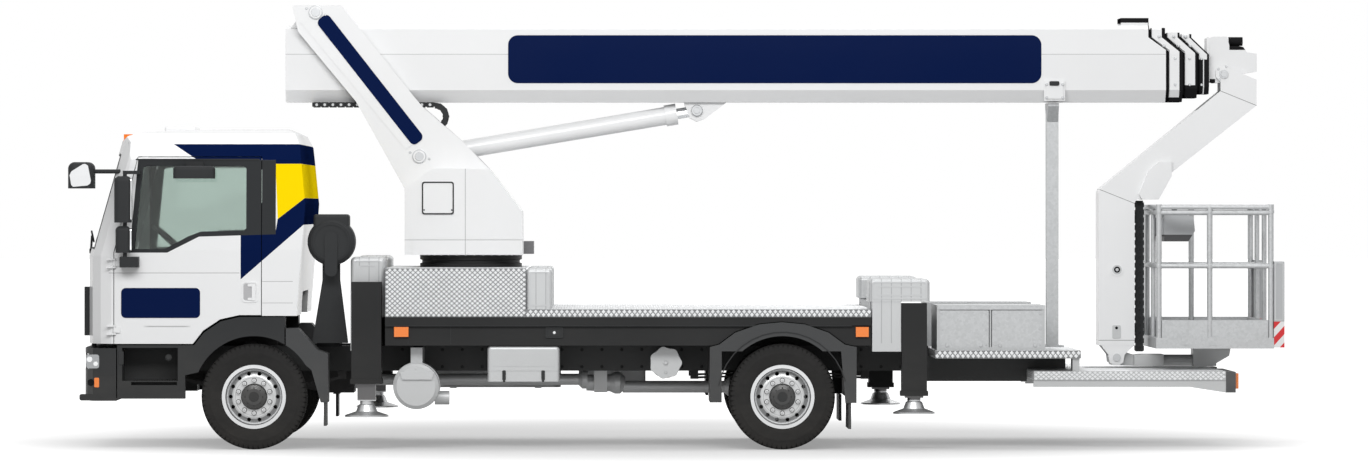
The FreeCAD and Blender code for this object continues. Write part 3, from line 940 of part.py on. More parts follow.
def inner_section(label, step, rear, shift, collar, high):
    """A sliding section with the slanted collar at its front."""
    inset = "%d*section_step" % step
    front = "3748 + %s" % shift
    tube = common(label + "_tube", boom_tube(label, inset, rear, front + " - 1"),
                  end_shape(label + "_end", "%s - %s" % (shift, collar), "2560", "3300", rear + " - 10"))
    ring_out = common(label + "_ring_out", boom_section(label + "_ring", "%s*section_step" % (step - 0.9), ("3500", front)),
                      end_shape(label + "_ring_end", shift, "2560", high, "3400"))
    ring_back = end_shape(label + "_ring_back", "%s - %s" % (shift, collar), "2500", "3400", "3300")
    ring_in = boom_section(label + "_ring_in", "%s + boom_wall" % inset, ("3400", front + " + 1"))
    pieces = [tube, cut(label + "_collar", ring_out, ring_back, ring_in)]
    if step < 3:
        pieces.append(slide_pad(label + "_pad", inset, "%d" % (96 - 14 * step), "3440 + %s" % shift))
    return join(label + "_whole", *pieces)


node("section_two", inner_section("section_two", 1, "boom_rear + 260", "122", "100", "3196"))
node("section_three", inner_section("section_three", 2, "boom_rear + 330", "236", "92", "3160"))
section_four = inner_section("section_four", 3, "boom_rear + 400", "330", "74", "3150")
head_plate = boom_section("head_plate", "3.2*section_step", ("4066", "4082"))
head = slab("boom_head", "Y", [
    ("4080", "2790"), ("4080", "3120"), ("4120", "3131"), ("4220", "3131"), ("4240", "3060"), ("4310", "3060"),
    ("4345", "3052"), ("4376", "3010"), ("4450", "3000"), ("4450", "2862"), ("4262", "2836"),
    ("4226", "2790"), ("4190", "2776"), ("4120", "2776")], ("-88", "88"))
motor = rod("head_motor", "X", ("0", "3096"), ("4219", "4348"), "34")
head_pin = rod("head_pin", "Y", ("jib_x", "jib_z"), ("-jib_half - 8", "jib_half + 8"), "jib_pin")
node("section_four", join("section_four_whole", section_four, head_plate, head, motor, head_pin))


# Jib

JIB = [("4214", "2700"), ("4169", "2714"), ("3244", "1963"), ("3232", "1940"), ("3232", "762"), ("3507", "762"),
       ("3507", "1862"), ("4443", "2601"), ("4443", "2700")]
jib_solid = slab("jib_solid", "Y", JIB, ("-jib_half", "jib_half"))
jib_space = grown("jib_space", "Y", JIB, ("-jib_half + jib_wall", "jib_half - jib_wall"), "-jib_wall")
swing_room = rod("swing_room", "Y", ("jib_x", "jib_z"), ("-97", "97"), "345")
ear_shape = slab("jib_ear", "Y", [
    ("4169", "2690"), ("4443", "2690"), ("4443", "2800"), ("4238", "2884"), ("4212", "2902"), ("4168", "2902"),
    ("4132", "2870"), ("4132", "2820"), ("4169", "2780")], ("-jib_half", "-jib_half + jib_ear"))
jib_ear_hole = rod("jib_ear_hole", "Y", ("jib_x", "jib_z"), ("-300", "300"), "jib_pin + pin_slack")
foot_ear = slab("foot_ear", "Y", [
    ("3232", "800"), ("3507", "800"), ("3507", "762"), ("3430", "690"), ("3420", "630"), ("3390", "609"),
    ("3350", "609"), ("3316", "630"), ("3308", "690"), ("3250", "762"), ("3232", "762")],
    ("-jib_half + 2", "-jib_half + 34"))
foot_hole = rod("foot_hole", "Y", ("foot_x", "foot_z"), ("-300", "300"), "foot_pin + pin_slack")
jib_cover = slab("jib_cover", "Y", [("3538", "1925"), ("3566", "1880"), ("3690", "1880"), ("3790", "2060"),
                                    ("3788", "2172"), ("3700", "2170"), ("3620", "2110")], ("-jib_half - 26", "jib_half + 26"))
jib_port = turned_y("jib_port", "3372", "1342", [("-jib_half - 5", "0"), ("-jib_half - 5", "50"), ("-jib_half + 1", "50"),
                                                 ("-jib_half + 1", "0")])
jib_hollow = cut("jib_hollow", jib_solid, jib_space, swing_room)
ears = cut("jib_ears", join("jib_ear_pair", ear_shape, flip("jib_ear_right", ear_shape)), jib_ear_hole)
feet = cut("foot_ears", join("foot_ear_pair", foot_ear, flip("foot_ear_right", foot_ear)), foot_hole)
node("jib_beam", join("jib_beam", jib_hollow, ears, feet, jib_cover, jib_port, flip("jib_port_right", jib_port)))


def chain(name, x, z_low, count, pitch, half):
    """A drag chain hanging straight: one bar with a rib at each link."""
    bar = box(name, (x + " - 26", x + " + 26"), ("-(%s)" % half, half), (z_low, "%s + %d" % (z_low, count * pitch)))
    ribs = [box(name + "_rib", (x + " - 33", x + " + 33"), ("-(%s) - 4" % half, half + " + 4"),
                ("%s + %d" % (z_low, k * pitch + 6), "%s + %d" % (z_low, (k + 1) * pitch - 14))) for k in range(count)]
    return join(name + "_whole", bar, *ribs)


jib_chain = chain("jib_chain", "3554", "712", 20, 58, "48")
chain_fixings = [box("chain_fixing", ("3507.3", "3540"), ("-40", "40"), (z, z + " + 60")) for z in ("860", "1700")]
node("jib_chain", join("jib_chain_all", jib_chain, *chain_fixings))

# Energy chain of the boom: a tray along the keel and a loop at its end
tray_links = [box("tray_link", ("-2790 + %d" % (k * 62), "-2790 + %d" % (k * 62 + 50)), ("-200", "-100"),
                  ("boom_low - 40", "boom_low - seat_gap")) for k in range(15)]
tray_bar = box("tray_bar", ("-2800", "-1860"), ("-190", "-110"), ("boom_low - 34", "boom_low - seat_gap - 2"))
loop = turned_y("chain_loop", "-1860", "boom_low - 110", [("-190", "62"), ("-190", "106"), ("-110", "106"), ("-110", "62")])
loop_half = box("loop_half", ("-1861", "-1700"), ("-300", "0"), ("boom_low - 230", "boom_low - seat_gap - 1"))
loop_links = [rod("loop_link", "Y", ("-1860 + 84*%.5f" % math.sin(math.radians(turn)),
                                     "boom_low - 110 + 84*%.5f" % math.cos(math.radians(turn))), ("-200", "-100"), "25")
              for turn in range(25, 180, 32)]
loop_tail = box("loop_tail", ("-2040", "-1859"), ("-190", "-110"), ("boom_low - 216", "boom_low - 172"))
node("boom_chain", join("boom_chain", tray_bar, *tray_links, common("loop_common", loop, loop_half), *loop_links, loop_tail))

# Levelling link and basket arm
link_plate = slab("link_plate", "Y", [("3330", "628"), ("3410", "628"), ("3424", "668"), ("3410", "708"),
                                      ("3330", "708"), ("3316", "668")], ("-94", "-68"))
link_axle = rod("link_axle", "Y", ("foot_x", "foot_z"), ("-jib_half - 6", "jib_half + 6"), "foot_pin")
node("level_link", join("level_link", link_plate, flip("link_plate_right", link_plate), link_axle))
tongue = slab("arm_tongue", "Y", [
    ("3330", "612"), ("3508", "604"), ("3508", "688"), ("3400", "722"), ("3330", "722"), ("3312", "668")],
    ("-62", "62"))
arm_block = slab("arm_block", "Y", [("3506", "604"), ("3731", "604"), ("3731", "692"), ("3560", "692"), ("3506", "686")],
                 ("-120", "120"))
arm_tube = rod("arm_tube", "X", ("0", "646"), ("3730", "3962"), "42")
arm_post = box("arm_post", ("3961", "4138"), ("-95", "95"), ("602", "basket_low - 0.3"))
arm_bracket = slab("arm_bracket", "Y", [("4137", "620"), ("4240", "680"), ("4253", "basket_low - 0.3"),
                                        ("4137", "basket_low - 0.3")], ("-70", "70"))
arm_hole = rod("arm_hole", "Y", ("foot_x", "foot_z"), ("-100", "100"), "foot_pin + pin_slack")
node("basket_arm", join("basket_arm", cut("tongue_cut", tongue, arm_hole), arm_block, arm_tube, arm_post, arm_bracket))


# Basket

def rail_x(name, y, z, radius="rail_tube", x=("basket_front + 20", "basket_rear - 20")):
    return rod(name, "X", (y, z), x, radius)


def rail_y(name, x, z, radius="rail_tube"):
    return rod(name, "Y", (x, z), ("-basket_half + 20", "basket_half - 20"), radius)


floor_beams = [box("floor_side", ("basket_front", "basket_rear"), (low, high), ("basket_low", "832"))
               for low, high in (("-basket_half", "-basket_half + 40"), ("basket_half - 40", "basket_half"))]
floor_beams += [box("floor_end", (low, high), ("-basket_half", "basket_half"), ("basket_low", "832"))
                for low, high in (("basket_front", "basket_front + 40"), ("basket_rear - 40", "basket_rear"))]
floor_beams += [box("floor_cross", (x, x + " + 50"), ("-basket_half + 30", "basket_half - 30"), ("basket_low", "818"))
                for x in ("3800", "3975", "4080", "4260")]
floor_plate = box("floor_plate", ("basket_front + 30", "basket_rear - 30"), ("-basket_half + 30", "basket_half - 30"),
                  ("817", "826"))
kick = cut("kick", box("kick_out", ("basket_front + 44", "basket_rear - 44"), ("-basket_half + 10", "basket_half - 10"),
                       ("825", "966")),
           box("kick_in", ("basket_front + 50", "basket_rear - 50"), ("-basket_half + 16", "basket_half - 16"),
               ("824", "967")))
posts = []
for x in ("basket_front + 22", "4025", "basket_rear - 22"):
    for y in ("-basket_half + 22", "basket_half - 22"):
        posts.append(rod("basket_post", "Z", (x, y), ("830", "basket_top - 20"), "21"))
for y in ("-240", "240"):
    for x in ("basket_front + 22", "basket_rear - 22"):
        posts.append(rod("basket_post", "Z", (x, y), ("830", "basket_top - 20"), "rail_tube"))
rails = []
for z in ("basket_top - 20", "basket_top - 62", "1376"):
    for y in ("-basket_half + 22", "basket_half - 22"):
        rails.append(rail_x("basket_rail", y, z))
    for x in ("basket_front + 22", "basket_rear - 22"):
        rails.append(rail_y("basket_rail", x, z))
corner_caps = []
for x in ("basket_front + 22", "basket_rear - 22"):
    for y in ("-basket_half + 22", "basket_half - 22"):
        corner_caps.append(rod("corner_cap", "Z", (x, y), ("basket_top - 42", "basket_top"), "23"))
node("basket_frame", join("basket_frame", *floor_beams, floor_plate, kick, *posts, *rails, *corner_caps))
control = slab("control_box", "Y", [("3705", "1560"), ("3890", "1560"), ("3940", "1640"), ("3930", "1752"),
                                    ("3705", "1790")], ("-420", "-60"))
control_hook = box("control_hook", ("basket_front + 22 + rail_tube + seat_gap", "3710"), ("-380", "-100"), ("1600", "1740"))
board = box("marker_board", ("basket_rear + seat_gap", "half_length"), ("-basket_half + 4", "-basket_half + 180"), ("758", "1410"))
board_right = flip("marker_board_right", board)
node("basket_fittings", group("basket_fittings", join("control", control, control_hook), board, board_right))


# Outriggers

def outrigger(label, x, inner, low, high, wide, foot, foot_size):
    """A sliding beam with its upright column, and the leg with its foot."""
    middle = "-1120 + column_deep/2"
    beam_piece = box(label + "_beam", (x + " - 60", x + " + 60"), ("-1120 + column_deep - 4", inner),
                     ("sub_low + 22", "sub_high - 32"))
    column = box(label + "_column", (x + " - %s/2" % wide, x + " + %s/2" % wide), ("-1120", "-1120 + column_deep"),
                 (low, high))
    collar = box(label + "_collar", (x + " - %s/2 - 9" % wide, x + " + %s/2 + 9" % wide),
                 ("-1126", "-1120 + column_deep - 1"), (low + " - 2", low + " + 34"))
    bore = box(label + "_bore", (x + " - leg_wide/2 - 8", x + " + leg_wide/2 + 8"), (middle + " - 62", middle + " + 62"),
               (low + " - 10", high + " - 20"))
    leg = box(label + "_leg", (x + " - leg_wide/2", x + " + leg_wide/2"), (middle + " - 54", middle + " + 54"),
              (foot + " + 120", high + " - 40"))
    ball = turned(label + "_foot", "Z", (x, middle), [
        (foot, "0"), (foot, foot_size), (foot + " + 12", foot_size), (foot + " + 40", "80"),
        (foot + " + 88", "62"), (foot + " + 94", "50"), (foot + " + 126", "50"), (foot + " + 126", "0")])
    neck = box(label + "_neck", (x + " - leg_wide/2 - seat_gap", x + " + leg_wide/2 + seat_gap"),
               (middle + " - 54 - seat_gap", middle + " + 54 + seat_gap"), (low + " - 10", low + " + 60"))
    arm = join(label + "_arm", beam_piece, cut(label + "_tube", column, bore),
               cut(label + "_ring", collar, neck))
    return arm, join(label + "_jack", leg, ball)


front_arm, front_jack = outrigger("front_left", "front_jack_x", "-16", "497", "1260", "column_wide", "foot_low",
                                  "foot_radius")
rear_arm, rear_jack = outrigger("rear_left", "rear_jack_x", "880", "407", "1100", "rear_column", "rear_foot_low",
                                "rear_foot_radius")
far_arm, far_jack = outrigger("rear_far", "rear_jack_x - rear_jack_shift", "880", "407", "1100", "rear_column",
                              "rear_foot_low", "rear_foot_radius")
node("outrigger_front_left", front_arm)
node("outrigger_front_right", flip("outrigger_front_right", front_arm))
node("outrigger_rear_left", rear_arm)
node("outrigger_rear_right", flip("outrigger_rear_right", far_arm))
node("jack_front_left", front_jack)
node("jack_front_right", flip("jack_front_right", front_jack))
node("jack_rear_left", rear_jack)
node("jack_rear_right", flip("jack_rear_right", far_jack))

# Check and write
doc.recompute()
for thing in doc.Objects:
    if "Invalid" in thing.State or "Error" in thing.State:
        raise RuntimeError("failed: %s %s" % (thing.Name, thing.State))
os.makedirs("parts", exist_ok=True)
for label, piece in NODES.items():
    shape = piece.Shape
    if shape.isNull() or not shape.isValid() or not shape.Solids:
        raise RuntimeError("bad shape: %s" % label)
    shape.exportStep("parts/%s.step" % label)
    bounds = shape.BoundBox
    print(label, len(shape.Solids), round(shape.Volume / 1e9, 4), [round(v) for v in (
        bounds.XMin, bounds.XMax, bounds.YMin, bounds.YMax, bounds.ZMin, bounds.ZMax)])
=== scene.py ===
import math

import bmesh
import bpy
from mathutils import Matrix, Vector


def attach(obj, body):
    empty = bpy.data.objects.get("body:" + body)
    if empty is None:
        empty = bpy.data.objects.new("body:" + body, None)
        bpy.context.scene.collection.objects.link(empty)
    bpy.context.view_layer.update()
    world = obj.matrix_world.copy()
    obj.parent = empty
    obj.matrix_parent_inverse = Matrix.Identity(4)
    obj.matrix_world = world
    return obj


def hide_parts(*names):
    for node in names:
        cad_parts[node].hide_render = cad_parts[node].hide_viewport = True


# Cherry picker truck: looks, small parts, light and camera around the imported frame.
# Metres. Front towards -X, left side at -Y, +Z up.

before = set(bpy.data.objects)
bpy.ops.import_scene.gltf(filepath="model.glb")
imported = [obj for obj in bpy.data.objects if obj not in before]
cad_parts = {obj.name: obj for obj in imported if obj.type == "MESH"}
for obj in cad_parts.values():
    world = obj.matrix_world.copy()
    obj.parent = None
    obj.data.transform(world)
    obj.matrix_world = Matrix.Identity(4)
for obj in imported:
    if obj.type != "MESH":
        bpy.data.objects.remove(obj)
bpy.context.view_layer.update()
SIDES = (("left", -1), ("right", 1))

# Colours, linear
WHITE = (0.80, 0.805, 0.81, 1)
NAVY = (0.0012, 0.0080, 0.052, 1)
YELLOW = (0.93, 0.67, 0.0, 1)
DARK = (0.016, 0.0165, 0.017, 1)
PLASTIC = (0.022, 0.0235, 0.025, 1)
RUBBER = (0.0085, 0.0085, 0.009, 1)
SILVER = (0.52, 0.53, 0.535, 1)
ZINC = (0.44, 0.45, 0.455, 1)
ORANGE = (0.87, 0.20, 0.006, 1)
RED = (0.55, 0.008, 0.006, 1)
BLACK = (0.008, 0.008, 0.009, 1)
DUST = (0.27, 0.25, 0.22, 1)
GLASS = (0.60, 0.685, 0.645, 1)
SEAM = (0.03, 0.03, 0.03, 1)

# Named places of the frame
FRONT_AXLE, REAR_AXLE, AXLE_Z = -3.192, 0.774, 0.398
WHEEL_Y, TWIN_PITCH = 0.990, 0.268
TYRE_RADIUS, TYRE_WIDTH, BEAD_RADIUS = 0.398, 0.235, 0.2265
BOOM_HALF, BOOM_CREASE, BOOM_SHOULDER, BOOM_DRAW = 0.196, 2.993, 3.185, 0.014

# How far out the faces are that small pieces sit on
CAB_HALF, WINDOW_HALF, NOSE_HALF = 1.110, 1.060, 1.115
DECK_HALF, RISER_HALF, SKIRT_HALF, FRAME_HALF = 1.110, 1.100, 1.085, 0.430
TOOLBOX_HALF, LOCKER_HALF, SILENCER_HALF, VALVE_HALF, INTAKE_HALF = 1.080, 1.045, 1.095, 0.930, 0.960
FRONT_COVER_HALF, MIDDLE_COVER_HALF, REAR_COVER_HALF = 0.930, 1.095, 1.112
TURRET_HALF, TOWER_HALF, LIFT_EYE_HALF, CLAMP_HALF = 0.435, 0.260, 0.096, 0.220
JIB_HALF, JIB_CHAIN_HALF, BOOM_CHAIN_HALF, BASKET_HALF, RAIL_Y = 0.130, 0.052, 0.200, 0.700, 0.678

# Telescopic sections: shift forwards, half width, seal's width, collar's length and its block's top
SECTIONS = {
    "section_two": (0.122, 0.193, 0.026, 0.100, 2.664),
    "section_three": (0.236, 0.163, 0.016, 0.092, 2.757),
    "section_four": (0.330, 0.138, 0.016, 0.074, 2.955),
}

# Width of a mask's soft edge
SOFT = 0.0008


class Surface:
    """A procedural material: a Principled shader and short calls for its pattern nodes."""

    def __init__(self, name, roughness=0.4, metallic=0.0, coat=0.0, gleam=0.5):
        self.material = bpy.data.materials.new(name)
        self.material.use_nodes = True
        self.nodes = self.material.node_tree.nodes
        self.links = self.material.node_tree.links
        self.shader = self.nodes["Principled BSDF"]
        self.roughness = roughness
        values = {"Metallic": metallic, "Coat Weight": coat, "Coat Roughness": 0.08,
                  "Specular IOR Level": gleam}
        for socket, value in values.items():
            self.shader.inputs[socket].default_value = value
        self.place = self.nodes.new("ShaderNodeTexCoord").outputs["Object"]
        split = self.nodes.new("ShaderNodeSeparateXYZ")
        self.links.new(self.place, split.inputs[0])
        self.x, self.y, self.z = split.outputs
        self.side = self.math("ABSOLUTE", self.y)

    def put(self, socket, value):
        if isinstance(value, bpy.types.NodeSocket):
            self.links.new(value, socket)
        else:
            socket.default_value = value

    def math(self, kind, *values, clamp=False):
        node = self.nodes.new("ShaderNodeMath")
        node.operation = kind
        node.use_clamp = clamp
        for socket, value in zip(node.inputs, values):
            self.put(socket, value)
        return node.outputs[0]

    def mix(self, factor, first, second):
        node = self.nodes.new("ShaderNodeMix")
        node.data_type = "RGBA"
        self.put(node.inputs[0], factor)
        self.put(node.inputs[6], first)
        self.put(node.inputs[7], second)
        return node.outputs[2]

    def noise(self, scale, detail=3.0, stretch=(1, 1, 1)):
        mapping = self.nodes.new("ShaderNodeMapping")
        mapping.inputs["Scale"].default_value = stretch
        self.links.new(self.place, mapping.inputs["Vector"])
        node = self.nodes.new("ShaderNodeTexNoise")
        node.inputs["Scale"].default_value = scale
        node.inputs["Detail"].default_value = detail
        self.links.new(mapping.outputs[0], node.inputs["Vector"])
        return node.outputs[0]

    def cells(self, scale):
        node = self.nodes.new("ShaderNodeTexVoronoi")
        node.inputs["Scale"].default_value = scale
        self.links.new(self.place, node.inputs["Vector"])
        gray = self.nodes.new("ShaderNodeRGBToBW")
        self.links.new(node.outputs["Color"], gray.inputs[0])
        return gray.outputs[0]

    def above(self, value, level, soft=SOFT):
        """1 where value is over level, 0 under it."""
        offset = self.math("SUBTRACT", value, level)
        return self.math("MULTIPLY_ADD", offset, 1 / soft, 0.5, clamp=True)

    def below(self, value, level, soft=SOFT):
        return self.above(level, value, soft)

    def band(self, value, low, high, soft=SOFT):
        return self.both(self.above(value, low, soft), self.below(value, high, soft))

    def fold(self, kind, masks):
        whole = masks[0]
        for mask in masks[1:]:
            whole = self.math(kind, whole, mask)
        return whole

    def both(self, *masks):
        return self.fold("MINIMUM", masks)

    def either(self, *masks):
        return self.fold("MAXIMUM", masks)

    def without(self, mask):
        return self.math("SUBTRACT", 1.0, mask)

    def ramp(self, value, start, slope):
        """0 up to the start, and a slope from there."""
        return self.math("MAXIMUM", self.math("MULTIPLY", self.math("SUBTRACT", value, start), slope), 0.0)

    def coat_off(self, mask, full):
        """A clear coat that is left out where the mask is 1."""
        self.put(self.shader.inputs["Coat Weight"], self.math("MULTIPLY_ADD", mask, -full, full))

    def inside(self, corners):
        """1 inside a convex outline in X and Z, whose corners run anticlockwise seen from -Y."""
        distances = []
        for (x1, z1), (x2, z2) in zip(corners, corners[1:] + corners[:1]):
            length = math.hypot(x2 - x1, z2 - z1)
            across, up = -(z2 - z1) / length, (x2 - x1) / length
            along_x = self.math("MULTIPLY_ADD", self.x, across, -(across * x1 + up * z1))
            distances.append(self.math("MULTIPLY_ADD", self.z, up, along_x))
        return self.math("MULTIPLY_ADD", self.both(*distances), 1 / SOFT, 0.5, clamp=True)

    def radius(self, x, z):
        """Distance from an axis along Y."""
        dx = self.math("SUBTRACT", self.x, x)
        dz = self.math("SUBTRACT", self.z, z)
        squares = self.math("ADD", self.math("MULTIPLY", dx, dx), self.math("MULTIPLY", dz, dz))
        return self.math("SQRT", squares)

    def finish(self, colour, vary=0.06, dust=0.10, grain=300, grain_depth=0.0002, extra_height=None):
        """Colour drift, road dust low down, uneven gloss and a fine surface grain."""
        drift = self.noise(1.7, 4)
        darker = self.mix(0.72, colour, (0.1, 0.1, 0.1, 1))
        shade = self.mix(self.math("MULTIPLY", drift, vary * 2), colour, darker)
        low = self.math("MULTIPLY_ADD", self.z, -1.1, 1.15, clamp=True)
        patches = self.noise(5, 6, (1, 1, 2.2))
        grime = self.math("MULTIPLY", self.math("MULTIPLY", low, patches), dust * 2)
        shade = self.mix(grime, shade, DUST)
        self.put(self.shader.inputs["Base Color"], shade)
        fine = self.noise(grain, 2)
        uneven = self.math("MULTIPLY_ADD", patches, 0.16, -0.05)
        self.put(self.shader.inputs["Roughness"], self.math("ADD", uneven, self.roughness, clamp=True))
        height = fine if extra_height is None else self.math("MULTIPLY_ADD", extra_height, 6.0, fine)
        bump = self.nodes.new("ShaderNodeBump")
        bump.inputs["Strength"].default_value = 0.5
        bump.inputs["Distance"].default_value = grain_depth
        self.links.new(height, bump.inputs["Height"])
        self.links.new(bump.outputs[0], self.shader.inputs["Normal"])
        return self.material


def plain(name, colour, roughness=0.4, metallic=0.0, coat=0.0, gleam=0.5, **more):
    return Surface(name, roughness, metallic, coat, gleam).finish(colour, **more)


# Materials

white_paint = plain("white_paint", WHITE, 0.30, coat=0.35, vary=0.04, dust=0.06, grain_depth=0.0001)
dark_paint = plain("dark_paint", DARK, 0.42, gleam=0.12, vary=0.10, dust=0.04)
# Frame paint lighter than its real dark grey: painted light for the shade under the deck.
frame_paint = plain("frame_paint", (0.055, 0.057, 0.058, 1), 0.45, gleam=0.2, vary=0.10, dust=0.06)
silver_paint = plain("silver_paint", SILVER, 0.40, 0.25, vary=0.08, dust=0.10)
black_plastic = plain("black_plastic", PLASTIC, 0.55, gleam=0.13, vary=0.12, dust=0.07, grain=520,
                      grain_depth=0.0004)
# Lighter than the black plastic: painted light for the shade under the deck.
arch_plastic = plain("arch_plastic", (0.046, 0.048, 0.050, 1), 0.55, gleam=0.2, vary=0.10, dust=0.08,
                     grain=480, grain_depth=0.0004)
navy_paint = plain("navy_paint", NAVY, 0.42, gleam=0.02, vary=0.02, dust=0.0, grain_depth=0.0001)
cast = plain("cast_metal", (0.030, 0.030, 0.032, 1), 0.62, 0.2, gleam=0.2, vary=0.2, dust=0.10, grain=140,
             grain_depth=0.0008)
steel = plain("machined_steel", (0.50, 0.51, 0.52, 1), 0.30, 0.85, vary=0.08, dust=0.06, grain=240)
chrome = plain("chrome_rod", (0.78, 0.79, 0.80, 1), 0.10, 1.0, vary=0.02, dust=0.0, grain_depth=0.00004)
# Very light: painted light for the shade under the truck.
shaft_paint = plain("shaft_paint", (0.74, 0.75, 0.755, 1), 0.42, 0.2, vary=0.10, dust=0.08)
orange_lens = plain("orange_lens", ORANGE, 0.16, coat=0.6, vary=0.03, dust=0.0, grain=90, grain_depth=0.0006)
clear_lens = plain("lamp_reflector", (0.78, 0.79, 0.80, 1), 0.12, 0.7, coat=0.8, vary=0.02, dust=0.0,
                   grain=70, grain_depth=0.0006)
lamp_housing = plain("lamp_housing", (0.34, 0.35, 0.36, 1), 0.14, 0.3, coat=0.6, vary=0.02, dust=0.0,
                     grain=60, grain_depth=0.0006)
silvered_glass = plain("mirror_glass", (0.86, 0.87, 0.88, 1), 0.04, 1.0, vary=0.01, dust=0.0,
                       grain_depth=0.00002)
handle_grey = plain("handle_cup", (0.42, 0.42, 0.43, 1), 0.5)
black_gap = plain("black_gap", BLACK, 0.7, gleam=0.05, vary=0.02, dust=0.0)


def galvanised():
    s = Surface("galvanised", 0.42, 0.45)
    spangle = s.cells(55)
    fine = s.cells(170)
    shade = s.mix(s.math("MULTIPLY", spangle, 0.55), ZINC, (0.60, 0.61, 0.62, 1))
    shade = s.mix(s.math("MULTIPLY", fine, 0.25), shade, (0.36, 0.37, 0.38, 1))
    return s.finish(shade, vary=0.10, dust=0.10, grain=90, grain_depth=0.0003)


def chequer_plate():
    s = Surface("chequer_plate", 0.36, 0.55)
    # Painted shade: the plate between the lugs is much darker than the lugs of the same metal.
    shade = s.mix(s.noise(9, 5), (0.15, 0.155, 0.16, 1), (0.23, 0.235, 0.24, 1))
    return s.finish(shade, vary=0.12, dust=0.10, grain=180, grain_depth=0.0003)


def lug_metal():
    s = Surface("chequer_lugs", 0.28, 0.6)
    # The lugs keep the bright tone of the metal; the plate around them is painted darker as shade.
    shade = s.mix(s.noise(12, 4), (0.62, 0.63, 0.64, 1), (0.80, 0.81, 0.82, 1))
    return s.finish(shade, vary=0.06, dust=0.10, grain=200)


def rubber():
    s = Surface("tyre_rubber", 0.72, gleam=0.09)
    scuffs = s.noise(26, 6)
    shade = s.mix(s.math("MULTIPLY", scuffs, 0.4), RUBBER, (0.028, 0.027, 0.026, 1))
    return s.finish(shade, vary=0.10, dust=0.05, grain=420, grain_depth=0.0005)


def rim_paint(name, axle_x):
    """Bright rim ring, grey disc with darker rings of painted shade, bright nuts and a black hub cap, by
    distance from the axle.
    """
    rim_start, nut_ring, hub_radius = 0.196, (0.105, 0.141), 0.0995
    nut_out, hub_out = 1.0652, 1.053
    # Darker rings of painted shade: in the dish, in a groove across the rim ring and at the step outside the
    # nuts.
    shade_bands = ((0.166, rim_start, (0.26, 0.265, 0.27, 1)), (0.2075, 0.2135, (0.055, 0.056, 0.058, 1)),
             (0.1405, 0.1435, (0.34, 0.345, 0.35, 1)))
    s = Surface(name, 0.34, 0.35, 0.2)
    radius = s.radius(axle_x, AXLE_Z)
    nuts = s.both(s.band(radius, *nut_ring), s.above(s.side, nut_out))
    hub = s.both(s.below(radius, hub_radius), s.above(s.side, hub_out))
    shade = s.mix(s.above(radius, rim_start), (0.62, 0.63, 0.635, 1), (0.72, 0.73, 0.74, 1))
    for low, high, tone in shade_bands:
        shade = s.mix(s.band(radius, low, high), shade, tone)
    shade = s.mix(nuts, shade, (0.78, 0.785, 0.79, 1))
    shade = s.mix(hub, shade, (0.022, 0.023, 0.024, 1))
    return s.finish(shade, vary=0.06, dust=0.08, grain=220)


def glass():
    s = Surface("cab_glass", 0.02)
    s.finish(GLASS, vary=0.02, dust=0.0, grain_depth=0.00001)
    s.shader.inputs["Transmission Weight"].default_value = 1.0
    return s.material


def interior():
    """Grey trim, and seats in a weave."""
    seat_front, seat_foot = -3.73, 1.22
    s = Surface("interior_trim", 0.72, gleam=0.2)
    seats = s.both(s.above(s.x, seat_front), s.above(s.z, seat_foot))
    weave = s.mix(s.noise(700, 2, (1, 1, 0.3)), (0.045, 0.047, 0.052, 1), (0.095, 0.10, 0.11, 1))
    shade = s.mix(seats, (0.060, 0.066, 0.066, 1), weave)
    return s.finish(shade, vary=0.10, dust=0.0, grain=420, grain_depth=0.0005)


